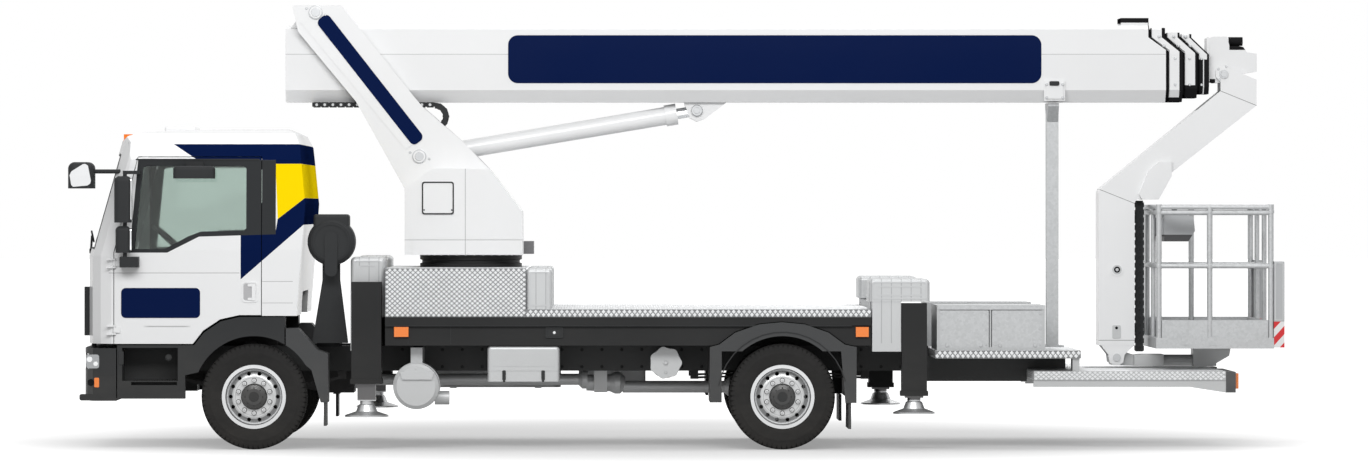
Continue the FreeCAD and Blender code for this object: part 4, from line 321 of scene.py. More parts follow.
def cab_paint():
    """White cab with its blue and yellow stripes, black window surround, and panel creases darkened with
    painted shade.
    """
    waist, roof, roof_edge, skin, back_x, back_foot = 1.50, 2.18, 2.31, 0.022, -2.872, 1.52
    s = Surface("cab_paint", 0.28, gleam=0.0)
    crown = s.math("ADD", s.ramp(s.z, roof, 0.24), s.ramp(s.z, roof_edge, 1.5))
    drawn_in = s.math("ADD", s.ramp(s.z, waist, 0.048 / (roof - waist)), crown)
    reach = s.math("SUBTRACT", CAB_HALF - skin, drawn_in)
    wrap = s.both(s.above(s.x, back_x), s.above(s.z, back_foot))
    outside = s.either(s.above(s.math("SUBTRACT", s.side, reach), 0.0), wrap)
    top_stripe = s.inside([(-3.6175, 2.175), (-2.60, 2.175), (-2.60, 2.295), (-3.7975, 2.295)])
    top_return = s.inside([(-3.0325, 2.1469), (-2.70, 2.1469), (-2.70, 2.18), (-3.0325, 2.18)])
    low_stripe = s.inside([(-3.2913, 1.2788), (-2.90, 1.6197), (-2.90, 1.625), (-3.2913, 1.625)])
    low_rise = s.inside([(-3.0325, 1.62), (-2.8991, 1.62), (-2.70, 1.7939), (-2.70, 1.976),
                         (-3.0138, 1.7325)])
    yellow = s.inside([(-3.0138, 1.7325), (-2.70, 1.976), (-2.70, 2.1469), (-3.0325, 2.1469)])
    surround = s.inside([(-4.1155, 1.60), (-3.60, 1.60), (-3.0281, 1.6175), (-3.0281, 2.175),
                         (-4.0638, 2.175)])
    dip = s.inside([(-4.128, 1.48), (-3.842, 1.48), (-3.60, 1.602), (-3.60, 1.61), (-4.1149, 1.61)])
    navy = s.both(outside, s.either(top_stripe, top_return, low_stripe, low_rise))
    black = s.both(outside, s.either(surround, dip))
    yellow = s.both(outside, yellow)
    inner = s.without(s.either(outside, s.above(s.z, 2.36), s.below(s.x, -4.14), s.above(s.x, -2.93)))
    markers = s.both(s.band(s.x, -4.195, -4.125), s.band(s.side, 0.725, 0.835), s.above(s.z, 2.318))
    # Dark lines: painted shade along the door's crease and the dimple, and dark joints of a panel behind the
    # door.
    crease_front = s.both(s.band(s.z, 1.3250, 1.3300, 0.002), s.below(s.x, -3.300))
    rear_lines = s.either(s.band(s.z, 1.2615, 1.2655, 0.002), s.band(s.z, 1.1005, 1.1045, 0.002))
    crease_rear = s.both(rear_lines, s.band(s.x, -3.130, -2.90))
    dimple = s.both(s.band(s.z, 0.922, 0.930, 0.006), s.band(s.x, -4.00, -3.685, 0.05))
    crease_shade_and_joints = s.both(outside, s.either(crease_front, crease_rear, dimple))
    shade = s.mix(yellow, WHITE, YELLOW)
    shade = s.mix(navy, shade, NAVY)
    shade = s.mix(black, shade, (0.036, 0.038, 0.040, 1))
    shade = s.mix(markers, shade, ORANGE)
    shade = s.mix(s.math("MULTIPLY", crease_shade_and_joints, 0.55), shade, (0.05, 0.05, 0.05, 1))
    shade = s.mix(inner, shade, (0.075, 0.085, 0.083, 1))
    s.coat_off(s.either(navy, black, inner, yellow), 0.6)
    dents = s.math("MULTIPLY", crease_shade_and_joints, -1.0)
    return s.finish(shade, vary=0.03, dust=0.012, grain_depth=0.00012, extra_height=dents)


def lamp_colours():
    """Clear lenses in front, amber ones along the sides, and amber beside red at the tail."""
    front_end, tail_start, tail_split, ribs_a_metre = -4.0, 4.0, 0.93, 70
    s = Surface("lamp_lenses", 0.14, coat=0.7)
    tail = s.above(s.x, tail_start)
    amber = s.band(s.x, front_end, tail_start)
    tail_amber = s.both(tail, s.above(s.side, tail_split))
    tail_red = s.both(tail, s.below(s.side, tail_split))
    ribs = s.math("FRACT", s.math("MULTIPLY", s.math("ADD", s.y, s.x), ribs_a_metre))
    shade = s.mix(s.either(amber, tail_amber), (0.62, 0.64, 0.66, 1), ORANGE)
    shade = s.mix(tail_red, shade, RED)
    return s.finish(shade, vary=0.02, dust=0.0, grain=90, grain_depth=0.0004, extra_height=ribs)


def platform_metal():
    """Bright plate on top, light beams below and a black end cap."""
    plate_foot, cap_start = 0.5225, 4.101
    s = Surface("platform_metal", 0.38, 0.4)
    worn = s.mix(s.noise(9, 5), (0.34, 0.35, 0.355, 1), (0.52, 0.53, 0.535, 1))
    shade = s.mix(s.above(s.z, plate_foot), (0.50, 0.51, 0.515, 1), worn)
    shade = s.mix(s.above(s.x, cap_start), shade, (0.05, 0.052, 0.055, 1))
    return s.finish(shade, vary=0.10, dust=0.14, grain=180, grain_depth=0.0003)


def locker_metal():
    """Silver covers in front with pressed grooves darkened by painted shade, and plain zinc lockers on the
    rear deck.
    """
    rear_deck_start, grooves_a_metre, grooves_foot = 1.90, 13.5, 0.80
    s = Surface("locker_metal", 0.38, 0.35)
    rear = s.above(s.x, rear_deck_start)
    shaded_grooves = s.band(s.math("FRACT", s.math("MULTIPLY", s.x, grooves_a_metre)), 0.44, 0.52, 0.03)
    shaded_grooves = s.both(shaded_grooves, s.without(rear), s.above(s.z, grooves_foot))
    shade = s.mix(rear, SILVER, ZINC)
    # Painted shade in the pressed grooves.
    shade = s.mix(s.math("MULTIPLY", shaded_grooves, 0.45), shade, (0.16, 0.16, 0.17, 1))
    dents = s.math("MULTIPLY", shaded_grooves, -1.0)
    return s.finish(shade, vary=0.08, dust=0.10, grain=200, extra_height=dents)


def collar_offset(s, shift):
    """How far a point lies behind the slanted front edge of a boom section."""
    edge_x, edge_lean, edge_top, edge_foot = 3.748, -0.134, 3.123, 3.026 - 0.1 * shift
    part = s.math("DIVIDE", s.math("SUBTRACT", s.z, edge_foot), edge_top - edge_foot, clamp=True)
    return s.math("SUBTRACT", s.math("MULTIPLY_ADD", part, edge_lean, edge_x + shift), s.x)


def finish_boom(s, dark):
    """White paint, black and without its coat where the mask is 1."""
    s.coat_off(dark, 0.5)
    return s.finish(s.mix(dark, WHITE, (0.012, 0.012, 0.013, 1)), vary=0.04, dust=0.0, grain_depth=0.0001)


def boom_paint():
    """White outer section with a black seal on its front edge, a black guard on top and a fine crease drawn
    as a dark line of painted shade.
    """
    guard_start, guard_end, guard_foot, crease_end = 3.395, 3.620, 3.236, 3.748
    s = Surface("boom_paint", 0.30, gleam=0.0)
    seal = s.band(collar_offset(s, 0.0), -0.004, 0.007)
    guard = s.both(s.band(s.x, guard_start, guard_end), s.above(s.z, guard_foot))
    # Painted shade: a thin dark line along the crease where the boom's side folds in.
    crease_shade = s.both(s.band(s.z, 2.9912, 2.9948), s.below(s.x, crease_end))
    return finish_boom(s, s.either(seal, guard, s.math("MULTIPLY", crease_shade, 0.55)))


def section_paint(name, shift, rim, collar, block_top):
    """White section with a black seal on its front edge, wear pads behind its collar and a black block."""
    motor_x, motor_z, foot_start, foot_end, foot_top = 4.2385, 3.029, 4.088, 4.130, 2.806
    long_collar = 0.08
    s = Surface(name, 0.30, gleam=0.0)
    offset = collar_offset(s, shift)
    seal = s.band(offset, -0.004, rim)
    motor = s.both(s.above(s.x, motor_x), s.above(s.z, motor_z))
    foot = s.both(s.band(s.x, foot_start, foot_end), s.below(s.z, foot_top))
    pads = s.band(offset, collar + 0.001, collar + 0.024)
    block = s.both(s.band(offset, 0.0, collar + 0.003), s.below(s.z, block_top))
    if collar < long_collar:
        block = s.both(block, s.without(s.band(offset, collar * 0.52, collar * 0.62)))
    return finish_boom(s, s.either(seal, motor, foot, pads, block))


def seam_line(s, start, end, half=0.0022):
    """1 on a thin line in X and Z."""
    (x1, z1), (x2, z2) = start, end
    length = math.hypot(x2 - x1, z2 - z1)
    across, up = -(z2 - z1) / length * half, (x2 - x1) / length * half
    return s.inside([(x1 - across, z1 - up), (x2 - across, z2 - up),
                     (x2 + across, z2 + up), (x1 + across, z1 + up)])


def jib_paint():
    s = Surface("jib_paint", 0.30, coat=0.3)
    ends = (((3.232, 1.96), (3.52, 1.845)), ((4.16, 2.716), (4.45, 2.598)), ((3.232, 0.8), (3.507, 0.8)))
    seams = s.either(*[seam_line(s, start, end) for start, end in ends])
    shade = s.mix(s.math("MULTIPLY", seams, 0.8), WHITE, SEAM)
    dents = s.math("MULTIPLY", seams, -1.0)
    return s.finish(shade, vary=0.04, dust=0.05, grain_depth=0.0001, extra_height=dents)


def turret_paint():
    """White housing with an upright and a level joint on each side, and a grey box in front."""
    side_start, box_start = 0.4, -1.178
    s = Surface("turret_paint", 0.30, coat=0.3)
    joints = s.either(s.band(s.x, -1.6235, -1.6195), s.band(s.z, 1.5700, 1.5735))
    joints = s.both(joints, s.above(s.side, side_start))
    shade = s.mix(s.math("MULTIPLY", joints, 0.7), WHITE, SEAM)
    shade = s.mix(s.above(s.x, box_start), shade, (0.12, 0.12, 0.125, 1))
    return s.finish(shade, vary=0.04, dust=0.03, grain_depth=0.0001)


def fitting_colours():
    """Control box in grey over black, and marker boards striped red at their foot."""
    board_start, stripes_top, grey_foot, stripe_lean, stripes_a_metre = 4.505, 0.955, 1.612, -1.1, 8.0
    s = Surface("basket_fittings", 0.42, coat=0.1)
    board = s.above(s.x, board_start)
    slant = s.math("MULTIPLY", s.math("ADD", s.z, s.math("MULTIPLY", s.x, stripe_lean)), stripes_a_metre)
    stripes = s.mix(s.above(s.math("FRACT", slant), 0.5, 0.01), (0.80, 0.80, 0.80, 1), (0.62, 0.01, 0.015, 1))
    shade = s.mix(board, (0.42, 0.43, 0.44, 1), (0.45, 0.46, 0.47, 1))
    shade = s.mix(s.both(s.below(s.z, grey_foot), s.without(board)), shade, (0.03, 0.03, 0.032, 1))
    shade = s.mix(s.both(board, s.below(s.z, stripes_top)), shade, stripes)
    return s.finish(shade, vary=0.06, dust=0.03, grain=240)


def jack_colours():
    """Bright foot under a dark leg."""
    foot_top = 0.375
    s = Surface("jack_metal", 0.30, 0.7)
    shade = s.mix(s.below(s.z, foot_top), (0.10, 0.10, 0.105, 1), (0.55, 0.56, 0.57, 1))
    return s.finish(shade, vary=0.08, dust=0.12, grain=200)


def seat_fabric():
    s = Surface("seat_cloth", 0.85, gleam=0.15)
    shade = s.mix(s.noise(900, 2, (1, 1, 0.3)), (0.030, 0.032, 0.036, 1), (0.085, 0.090, 0.098, 1))
    return s.finish(shade, vary=0.10, dust=0.0, grain=760, grain_depth=0.0006)


galvanised_metal = galvanised()
lugs_metal = lug_metal()
seat_cloth = seat_fabric()
tyre_rubber = rubber()
rim_front = rim_paint("rim_paint_front", FRONT_AXLE)
rim_rear = rim_paint("rim_paint_rear", REAR_AXLE)
glass_pane = glass()
cab_colours = cab_paint()
jack_metal = jack_colours()

FINISHES = {
    "chassis_frame": frame_paint, "subframe": dark_paint, "deck_plates": chequer_plate(),
    "rear_platform": platform_metal(), "boom_rest": galvanised_metal, "lockers": locker_metal(),
    "tanks": silver_paint, "air_intake": black_plastic, "mudguards": arch_plastic, "bumper": black_plastic,
    "lamps": lamp_colours(), "axles": cast, "driveline": shaft_paint, "engine": cast, "slew_ring": dark_paint,
    "cab_shell": cab_colours, "windscreen": glass_pane, "cab_trim": black_plastic, "cab_interior": interior(),
    "turret_housing": turret_paint(), "tower_fork": white_paint, "boom_chain": black_plastic,
    "boom_outer": boom_paint(), "lift_barrel": white_paint, "lift_rod": chrome, "jib_beam": jib_paint(),
    "jib_chain": black_plastic, "level_link": steel, "basket_arm": silver_paint,
    "basket_frame": galvanised_metal, "basket_fittings": fitting_colours(),
}

# Finishes of the nodes that each side has, by the start of their names
SIDE_FINISHES = {
    "door_": cab_colours, "door_glass_": glass_pane, "mirrors_": black_plastic, "knuckle_": cast,
    "rim_front_": rim_front, "rims_rear_": rim_rear, "tyre_front_": tyre_rubber, "tyres_rear_": tyre_rubber,
    "outrigger_front_": dark_paint, "outrigger_rear_": dark_paint, "jack_front_": jack_metal,
    "jack_rear_": jack_metal,
}
for section, (shift, _, rim, collar, block_top) in SECTIONS.items():
    FINISHES[section] = section_paint(section + "_paint", shift, rim, collar, block_top)
for side, _ in SIDES:
    FINISHES.update({name + side: finish for name, finish in SIDE_FINISHES.items()})

for node_name, finish in FINISHES.items():
    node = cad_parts[node_name]
    if not node.material_slots:
        node.data.materials.append(finish)
    for slot in node.material_slots:
        slot.material = finish


# Piece makers

def piece(name, points, faces, material, body, smooth_angle=30):
    """A new mesh that rides on a body."""
    mesh = bpy.data.meshes.new(name)
    mesh.from_pydata(points, [], faces)
    mesh.validate()
    mesh.materials.append(material)
    mesh.shade_smooth()
    mesh.set_sharp_from_angle(angle=math.radians(smooth_angle))
    thing = bpy.data.objects.new(name, mesh)
    bpy.context.scene.collection.objects.link(thing)
    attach(thing, body)
    return thing


def circle(x, z, radius, count, start=0.0):
    """Places on a circle; the first one is start steps round from its first axis."""
    turns = [2 * math.pi * (k + start) / count for k in range(count)]
    return [(x + radius * math.cos(a), z + radius * math.sin(a)) for a in turns]


def rounded(x1, x2, z1, z2, size, steps=6):
    """A rectangle with round corners."""
    right, left, top, foot = x2 - size, x1 + size, z2 - size, z1 + size
    outline = []
    for x, z, start in ((right, foot, -90), (right, top, 0), (left, top, 90), (left, foot, 180)):
        for k in range(steps + 1):
            a = math.radians(start + 90 * k / steps)
            outline.append((x + size * math.cos(a), z + size * math.sin(a)))
    return outline


def slanted(start, end, half, size, steps=6):
    """A rounded bar's outline between two points in X and Z."""
    length = math.hypot(end[0] - start[0], end[1] - start[1])
    ax, az = (end[0] - start[0]) / length, (end[1] - start[1]) / length
    return [(start[0] + ax * u - az * v, start[1] + az * u + ax * v)
            for u, v in rounded(0, length, -half, half, size, steps)]


def tube_faces(rows, count):
    """Faces between rows of a closed outline, with a cap on both ends."""
    faces = []
    for row in range(rows - 1):
        for k in range(count):
            a, b = row * count + k, row * count + (k + 1) % count
            faces.append((a, b, b + count, a + count))
    return faces + [tuple(range(count - 1, -1, -1)), tuple(range((rows - 1) * count, rows * count))]


class Heap:
    """Points and faces of several small shapes that become one piece.

    Depths along Y are measured outwards from a face, and sign -1 turns them to the left side.
    """

    def __init__(self, sign=1, face=0.0):
        self.sign = sign
        self.face = face
        self.points = []
        self.faces = []

    def out(self, depth):
        return self.sign * (self.face + depth)

    def add(self, points, faces):
        first = len(self.points)
        self.points += [tuple(p) for p in points]
        self.faces += [tuple(first + k for k in face) for face in faces]

    def prism(self, outline, low, high, axis="y"):
        """A flat outline given thickness along Y or X."""
        count = len(outline)
        if axis == "y":
            points = [(x, self.out(depth), z) for depth in (low, high) for x, z in outline]
        else:
            points = [(x, y, z) for x in (low, high) for y, z in outline]
        faces = [tuple(range(count)), tuple(range(2 * count - 1, count - 1, -1))]
        faces += [(k, count + k, count + (k + 1) % count, (k + 1) % count) for k in range(count)]
        self.add(points, faces)

    def plate(self, x1, x2, z1, z2, size, low, high, steps=6):
        """A flat plate with round corners."""
        self.prism(rounded(x1, x2, z1, z2, size, steps), low, high)

    def ring(self, outer, inner, low, high):
        """A flat frame between two outlines that have the same number of corners."""
        count = len(outer)
        levels = self.out(low), self.out(high)
        points = [(x, y, z) for outline in (outer, inner) for y in levels for x, z in outline]
        faces = []
        for k in range(count):
            n = (k + 1) % count
            out_k, out_n, in_k, in_n = k + count, n + count, k + 2 * count, n + 2 * count
            faces += [(k, n, out_n, out_k), (in_k, in_k + count, in_n + count, in_n),
                      (out_k, out_n, in_n + count, in_k + count), (k, in_k, in_n, n)]
        self.add(points, faces)

    def frame(self, x1, x2, z1, z2, size, inner_size, low, high, width=0.01):
        """A flat frame with round corners."""
        inner = rounded(x1 + width, x2 - width, z1 + width, z2 - width, inner_size)
        self.ring(rounded(x1, x2, z1, z2, size), inner, low, high)

    def disc(self, centre, radius, low, high, sides=24, bevel=0.0, axis="y"):
        """A round boss along an axis with a bevelled edge at its high end."""
        if axis == "y":
            low, high = self.out(low), self.out(high)
        bevel = bevel or min(radius, abs(high - low)) * 0.2
        edge = high - bevel if high > low else high + bevel
        points = []
        for level, size in ((low, radius), (edge, radius), (high, radius - bevel)):
            for u, v in circle(*centre, size, sides):
                points.append({"y": (u, level, v), "x": (level, u, v), "z": (u, v, level)}[axis])
        self.add(points, tube_faces(3, sides))

    def bolt(self, centre, radius, low, high, axis="y"):
        """A six-sided head over a round washer."""
        self.disc(centre, radius * 1.35, low, low + (high - low) * 0.3, 16, axis=axis)
        self.disc(centre, radius, low, high, 6, axis=axis)

    def bar(self, start, end, size):
        """A thin square bar between two points."""
        start, end = [Vector((x, self.out(depth), z)) for x, depth, z in (start, end)]
        along = (end - start).normalized()
        other = Vector((0, 0, 1)) if abs(along.z) < 0.9 else Vector((1, 0, 0))
        u = along.cross(other).normalized() * size
        v = along.cross(u).normalized() * size
        corners = (-u - v, u - v, u + v, v - u)
        points = [place + corner for place in (start, end) for corner in corners]
        self.add(points, [(0, 1, 2, 3), (7, 6, 5, 4), (0, 4, 5, 1), (1, 5, 6, 2), (2, 6, 7, 3), (3, 7, 4, 0)])

    def line(self, points, size):
        """Thin bars from point to point."""
        for start, end in zip(points, points[1:]):
            self.bar(start, end, size)

    def make(self, name, material, body, **more):
        return piece(name, self.points, self.faces, material, body, **more)


def single(material, body, face=0.0, sign=1, ending=""):
    """Makes a piece from a function that fills a heap, and names it after the function."""
    def make(fill):
        heap = Heap(sign, face)
        fill(heap)
        heap.make(fill.__name__ + ending, material, body)
        return fill
    return make


def on_sides(material, body, face=0.0):
    """Makes a left and a right piece. A body whose name ends with an underscore gets the side's name too."""
    def make(fill):
        for side, sign in SIDES:
            own = body + side if body.endswith("_") else body
            single(material, own, face, sign, "_" + side)(fill)
        return fill
    return make


# Tyres

TREAD_BLOCKS = 64
TREAD_DROP = {0: 0.0, 1: 0.009, 2: 0.004}


def tyre_profile():
    """Half a tyre's section from the tread's middle to the bead: (share across, radius, kind of tread)."""
    r, b = TYRE_RADIUS, BEAD_RADIUS
    return [(0.00, r - 0.011, 0), (0.03, r - 0.011, 0), (0.032, r - 0.0005, 0), (0.15, r - 0.0006, 0),
            (0.152, r - 0.011, 0), (0.186, r - 0.011, 0), (0.188, r - 0.001, 0), (0.29, r - 0.0018, 0),
            (0.292, r - 0.012, 0), (0.324, r - 0.012, 0), (0.326, r - 0.003, 1), (0.4, r - 0.0065, 1),
            (0.44, r - 0.013, 1), (0.466, r - 0.026, 1), (0.474, r - 0.04, 2), (0.48, r - 0.044, 0),
            (0.487, r - 0.062, 0), (0.492, r - 0.064, 0), (0.494, r - 0.074, 0), (0.491, r - 0.082, 0),
            (0.493, b + 0.066, 0), (0.49, b + 0.046, 0), (0.486, b + 0.03, 0), (0.48, b + 0.026, 0),
            (0.474, b + 0.016, 0), (0.462, b + 0.012, 0), (0.45, b, 0)]


def add_tyre(heap, axle_x, centre_y):
    """A tyre whose shoulder blocks are cut apart, and set off by a quarter pitch from side to side."""
    half = tyre_profile()
    section = [(-a, r, t) for a, r, t in reversed(half)] + half[1:]
    pitch = 2 * math.pi / TREAD_BLOCKS
    columns = [((k + share) * pitch, groove) for k in range(TREAD_BLOCKS)
               for share, groove in ((0.0, 0), (0.7, 0), (0.73, 1), (0.97, 1))]
    points = []
    for angle, groove in columns:
        for share, radius, tread in section:
            size = radius - groove * TREAD_DROP[tread]
            turn = angle + (0.25 * pitch if share > 0 else 0)
            points.append((axle_x + size * math.cos(turn), centre_y + share * TYRE_WIDTH,
                           AXLE_Z + size * math.sin(turn)))
    rows, total = len(section), len(columns)
    faces = []
    for c in range(total):
        for k in range(rows - 1):
            a, b = c * rows + k, ((c + 1) % total) * rows + k
            faces.append((a, a + 1, b + 1, b))
    heap.add(points, faces)


for side, sign in SIDES:
    heap = Heap()
    add_tyre(heap, FRONT_AXLE, sign * WHEEL_Y)
    tyre = heap.make("tyre_tread_front_" + side, tyre_rubber, "wheel_front_" + side)
    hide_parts("tyre_front_" + side)
    heap = Heap()
    add_tyre(heap, REAR_AXLE, sign * WHEEL_Y)
    add_tyre(heap, REAR_AXLE, sign * (WHEEL_Y - TWIN_PITCH))
    tyre = heap.make("tyre_tread_rear_" + side, tyre_rubber, "wheels_rear_" + side)
    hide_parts("tyres_rear_" + side)


# Wheel nuts, their washers and the bolts of the hub caps

NUT_CIRCLE, NUTS = 0.123, 10
CAP_CIRCLE, CAP_BOLTS, CAP_RADIUS = 0.066, 8, 0.038


def wheel_trim(end, side, sign, body, axle_x):
    nuts, washers, cap = [Heap(sign, WHEEL_Y) for _ in range(3)]
    for centre in circle(axle_x, AXLE_Z, NUT_CIRCLE, NUTS, 0.5):
        nuts.disc(centre, 0.0085, 0.097, 0.104, 12)
        washers.disc(centre, 0.0185, 0.0735, 0.079, 20)
    for centre in circle(axle_x, AXLE_Z, CAP_CIRCLE, CAP_BOLTS):
        cap.bolt(centre, 0.0065, 0.108, 0.1165)
    cap.disc((axle_x, AXLE_Z), CAP_RADIUS, 0.1155, 0.1185, 32)
    nuts.make("wheel_nuts_%s_%s" % (end, side), steel, body)
    washers.make("wheel_washers_%s_%s" % (end, side), cast, body)
    cap.make("hub_cap_%s_%s" % (end, side), black_plastic, body)


for side, sign in SIDES:
    wheel_trim("front", side, sign, "wheel_front_" + side, FRONT_AXLE)
    wheel_trim("rear", side, sign, "wheels_rear_" + side, REAR_AXLE)


# Chequer plate lugs

LUG_PITCH_U, LUG_PITCH_V = 0.039, 0.037
LUG_MARGIN = 0.15
LUG_HALF, LUG_TOP = 0.405, 0.74
LUG_SUNK, LUG_HEIGHT = 0.0002, 0.0018

# Plates with lugs: their ends, foot and top, how far out their sides are, and half the slot in their middle
DECKS = {
    "chequer_riser": (-2.208, -1.15, 0.9963, 1.362, RISER_HALF, 0.0),
    "chequer_main_deck": (-1.151, 1.44, 0.9963, 1.054, DECK_HALF, 0.0),
    "chequer_rear_deck": (1.92, 3.012, 0.686, 0.745, DECK_HALF, 0.0),
    "chequer_wings": (2.66, 4.1, 0.523, 0.59, DECK_HALF, 0.19),
}


def add_lugs(heap, origin, u, v, width, height):
    """A lattice of raised diamonds on a flat face; half sizes and the margin are shares of a pitch."""
    u, v = Vector(u), Vector(v)
    normal = u.cross(v)
    margins = 2 * LUG_MARGIN
    columns = max(1, round(width / LUG_PITCH_U - margins))
    rows = max(1, round(height / LUG_PITCH_V - margins))
    pitch_u, pitch_v = width / (columns + margins), height / (rows + margins)
    a, b = u * pitch_u * LUG_HALF, v * pitch_v * LUG_HALF
    for i in range(columns):
        for j in range(rows):
            for part in (0.25, 0.75):
                along, up = (LUG_MARGIN + i + part) * pitch_u, (LUG_MARGIN + j + part) * pitch_v
                centre = Vector(origin) + u * along + v * up
                base = [centre + edge - normal * LUG_SUNK for edge in (-a, -b, a, b)]
                top = [centre + edge * LUG_TOP + normal * LUG_HEIGHT for edge in (-a, -b, a, b)]
                heap.add(base + top, [(0, 1, 5, 4), (1, 2, 6, 5), (2, 3, 7, 6), (3, 0, 4, 7), (4, 5, 6, 7)])


def lug_fields(name, x1, x2, z1, z2, half, slot):
    """Lugs on the top and the four sides of a plate."""
    heap = Heap()
    length, height = x2 - x1, z2 - z1
    for y1, y2 in ((-half, -slot), (slot, half)) if slot else ((-half, half),):
        add_lugs(heap, (x1, y1, z2), (1, 0, 0), (0, 1, 0), length, y2 - y1)
    add_lugs(heap, (x1, -half, z1), (1, 0, 0), (0, 0, 1), length, height)
    add_lugs(heap, (x2, half, z1), (-1, 0, 0), (0, 0, 1), length, height)
    add_lugs(heap, (x1, half, z1), (0, -1, 0), (0, 0, 1), 2 * half, height)
    add_lugs(heap, (x2, -half, z1), (0, 1, 0), (0, 0, 1), 2 * half, height)
    heap.make(name, lugs_metal, "chassis", smooth_angle=10)


for name, deck in DECKS.items():
    lug_fields(name, *deck)


# Blue plates on the boom, the tower and the doors

BOOM_PLATE = (-1.299, 2.787, 2.771, 3.139)
BOOM_PLATE_CORNER, BOOM_PLATE_SUNK, BOOM_PLATE_LIFT = 0.075, 0.001, 0.0025


def boom_side(z):
    """How far out the boom's side is at a height."""
    if z <= BOOM_CREASE:
        return BOOM_HALF
    return BOOM_HALF - BOOM_DRAW * (z - BOOM_CREASE) / (BOOM_SHOULDER - BOOM_CREASE)


def boom_plate(side, sign):
    """A plate folded along the boom's crease; its outline is drawn flat and then laid on the boom's side."""
    heap = Heap()
    heap.prism(rounded(*BOOM_PLATE, BOOM_PLATE_CORNER, 10), 0.0, 1.0)
    plate = heap.make("boom_plate_" + side, navy_paint, "boom")
    form = bmesh.new()
    form.from_mesh(plate.data)
    everything = form.verts[:] + form.edges[:] + form.faces[:]
    bmesh.ops.bisect_plane(form, geom=everything, plane_co=(0, 0, BOOM_CREASE), plane_no=(0, 0, 1))
    for vertex in form.verts:
        lift = BOOM_PLATE_LIFT if vertex.co.y > 0.5 else -BOOM_PLATE_SUNK
        vertex.co.y = sign * (boom_side(vertex.co.z) + lift)
    bmesh.ops.recalc_face_normals(form, faces=form.faces)
    form.to_mesh(plate.data)
    form.free()


for side, sign in SIDES:
    boom_plate(side, sign)


@on_sides(navy_paint, "turret", TOWER_HALF)
def tower_strip(heap):
    heap.prism(slanted((-2.726, 3.273), (-1.98, 2.32), 0.055, 0.04), -0.002, 0.0065)


@on_sides(navy_paint, "door_", CAB_HALF)
def door_plate(heap):
    heap.plate(-4.1875, -3.595, 0.99, 1.215, 0.035, -0.0015, 0.0025)


# Door handles and window frame trim

@on_sides(white_paint, "door_", CAB_HALF)
def door_handle(heap):
    heap.frame(-3.284, -3.16, 1.106, 1.262, 0.03, 0.022, -0.0005, 0.0055)
    heap.plate(-3.206, -3.18, 1.12, 1.25, 0.008, 0.0005, 0.01)
    for z in (1.226, 1.124):
        heap.plate(-3.238, -3.19, z, z + 0.018, 0.006, 0.0, 0.007)


@on_sides(handle_grey, "door_", CAB_HALF)
def handle_cup(heap):
    heap.plate(-3.27, -3.208, 1.122, 1.246, 0.018, -0.0015, 0.0008)


@on_sides(black_plastic, "door_", WINDOW_HALF)
def door_seal(heap):
    for start, end in (((-4.232, 1.5), (-4.084, 2.12)), ((-4.082, 2.18), (-3.15, 2.18))):
        heap.prism(slanted(start, end, 0.005, 0.0045, 3), -0.002, 0.006)


# Head lamps, fog lamps, indicators and the bumper's lines

LAMP_FACE_X, LAMP_FACE_Y, LAMP_FACE_SLOPE = -4.474, 0.7603, 36 / 279.4
LAMP_Z, LAMP_RADIUS = 0.664, 0.046


@on_sides(clear_lens, "chassis")
def head_lamp_bowls(heap):
    for y in (0.965, 0.85):
        face_x = LAMP_FACE_X + (y - LAMP_FACE_Y) * LAMP_FACE_SLOPE
        centre = (heap.sign * y, LAMP_Z)
        heap.disc(centre, LAMP_RADIUS, face_x + 0.004, face_x - 0.006, 28, axis="x")
        heap.disc(centre, LAMP_RADIUS * 0.45, face_x - 0.004, face_x - 0.01, 20, axis="x")


@on_sides(lamp_housing, "chassis", NOSE_HALF)
def head_lamp_side(heap):
    heap.plate(-4.448, -4.352, 0.612, 0.716, 0.018, -0.0005, 0.0025)


@on_sides(clear_lens, "chassis", NOSE_HALF)
def side_reflectors(heap):
    for x, z, radius in ((-4.424, 0.68, 0.021), (-4.378, 0.646, 0.017)):
        heap.disc((x, z), radius, 0.002, 0.005)


@on_sides(orange_lens, "chassis", NOSE_HALF)
def indicator(heap):
    heap.plate(-4.388, -4.352, 0.47, 0.542, 0.008, -0.0005, 0.004)


@on_sides(black_gap, "chassis", NOSE_HALF)
def fog_lamp(heap):
    heap.disc((-4.414, 0.506), 0.026, -0.001, 0.0025)


@on_sides(black_plastic, "chassis", NOSE_HALF)
def bumper_lines(heap):
    heap.plate(-4.5, -4.34, 0.3705, 0.42, 0.016, -0.001, 0.0015)
    heap.plate(-4.36, -4.236, 0.56, 0.572, 0.005, -0.001, 0.0015)


# Bumper slats, plate holder, wipers and windscreen seal on the front

SLAT_HALF, SLAT_HEIGHT = 0.52, 0.022
WIPER_Y = (-0.42, 0.36)
SCREEN_FOOT_X, SCREEN_FOOT_Z, SCREEN_SLOPE = -4.462, 1.472, 0.2905
SCREEN_HALF, SCREEN_BEND = 0.96, 0.058


def on_screen(y, z, out):
    """A point in front of the windscreen."""
    return (SCREEN_FOOT_X + (z - SCREEN_FOOT_Z) * SCREEN_SLOPE - out, y, z)


@single(black_plastic, "chassis")
def bumper_slats(heap):
    top_half = SLAT_HALF - 0.02
    slat = ((-SLAT_HALF, 0), (SLAT_HALF, 0), (top_half, SLAT_HEIGHT), (-top_half, SLAT_HEIGHT))
    for foot in (0.44, 0.48, 0.52):
        heap.prism([(y, foot + z) for y, z in slat], -4.492, -4.5035, axis="x")
    heap.prism(rounded(-0.26, 0.26, 0.57, 0.69, 0.01), -4.49, -4.504, axis="x")


@single(black_plastic, "cab")
def wiper_pivots(heap):
    for y in WIPER_Y:
        heap.disc((y, 1.488), 0.02, -4.455, -4.486, 20, axis="x")


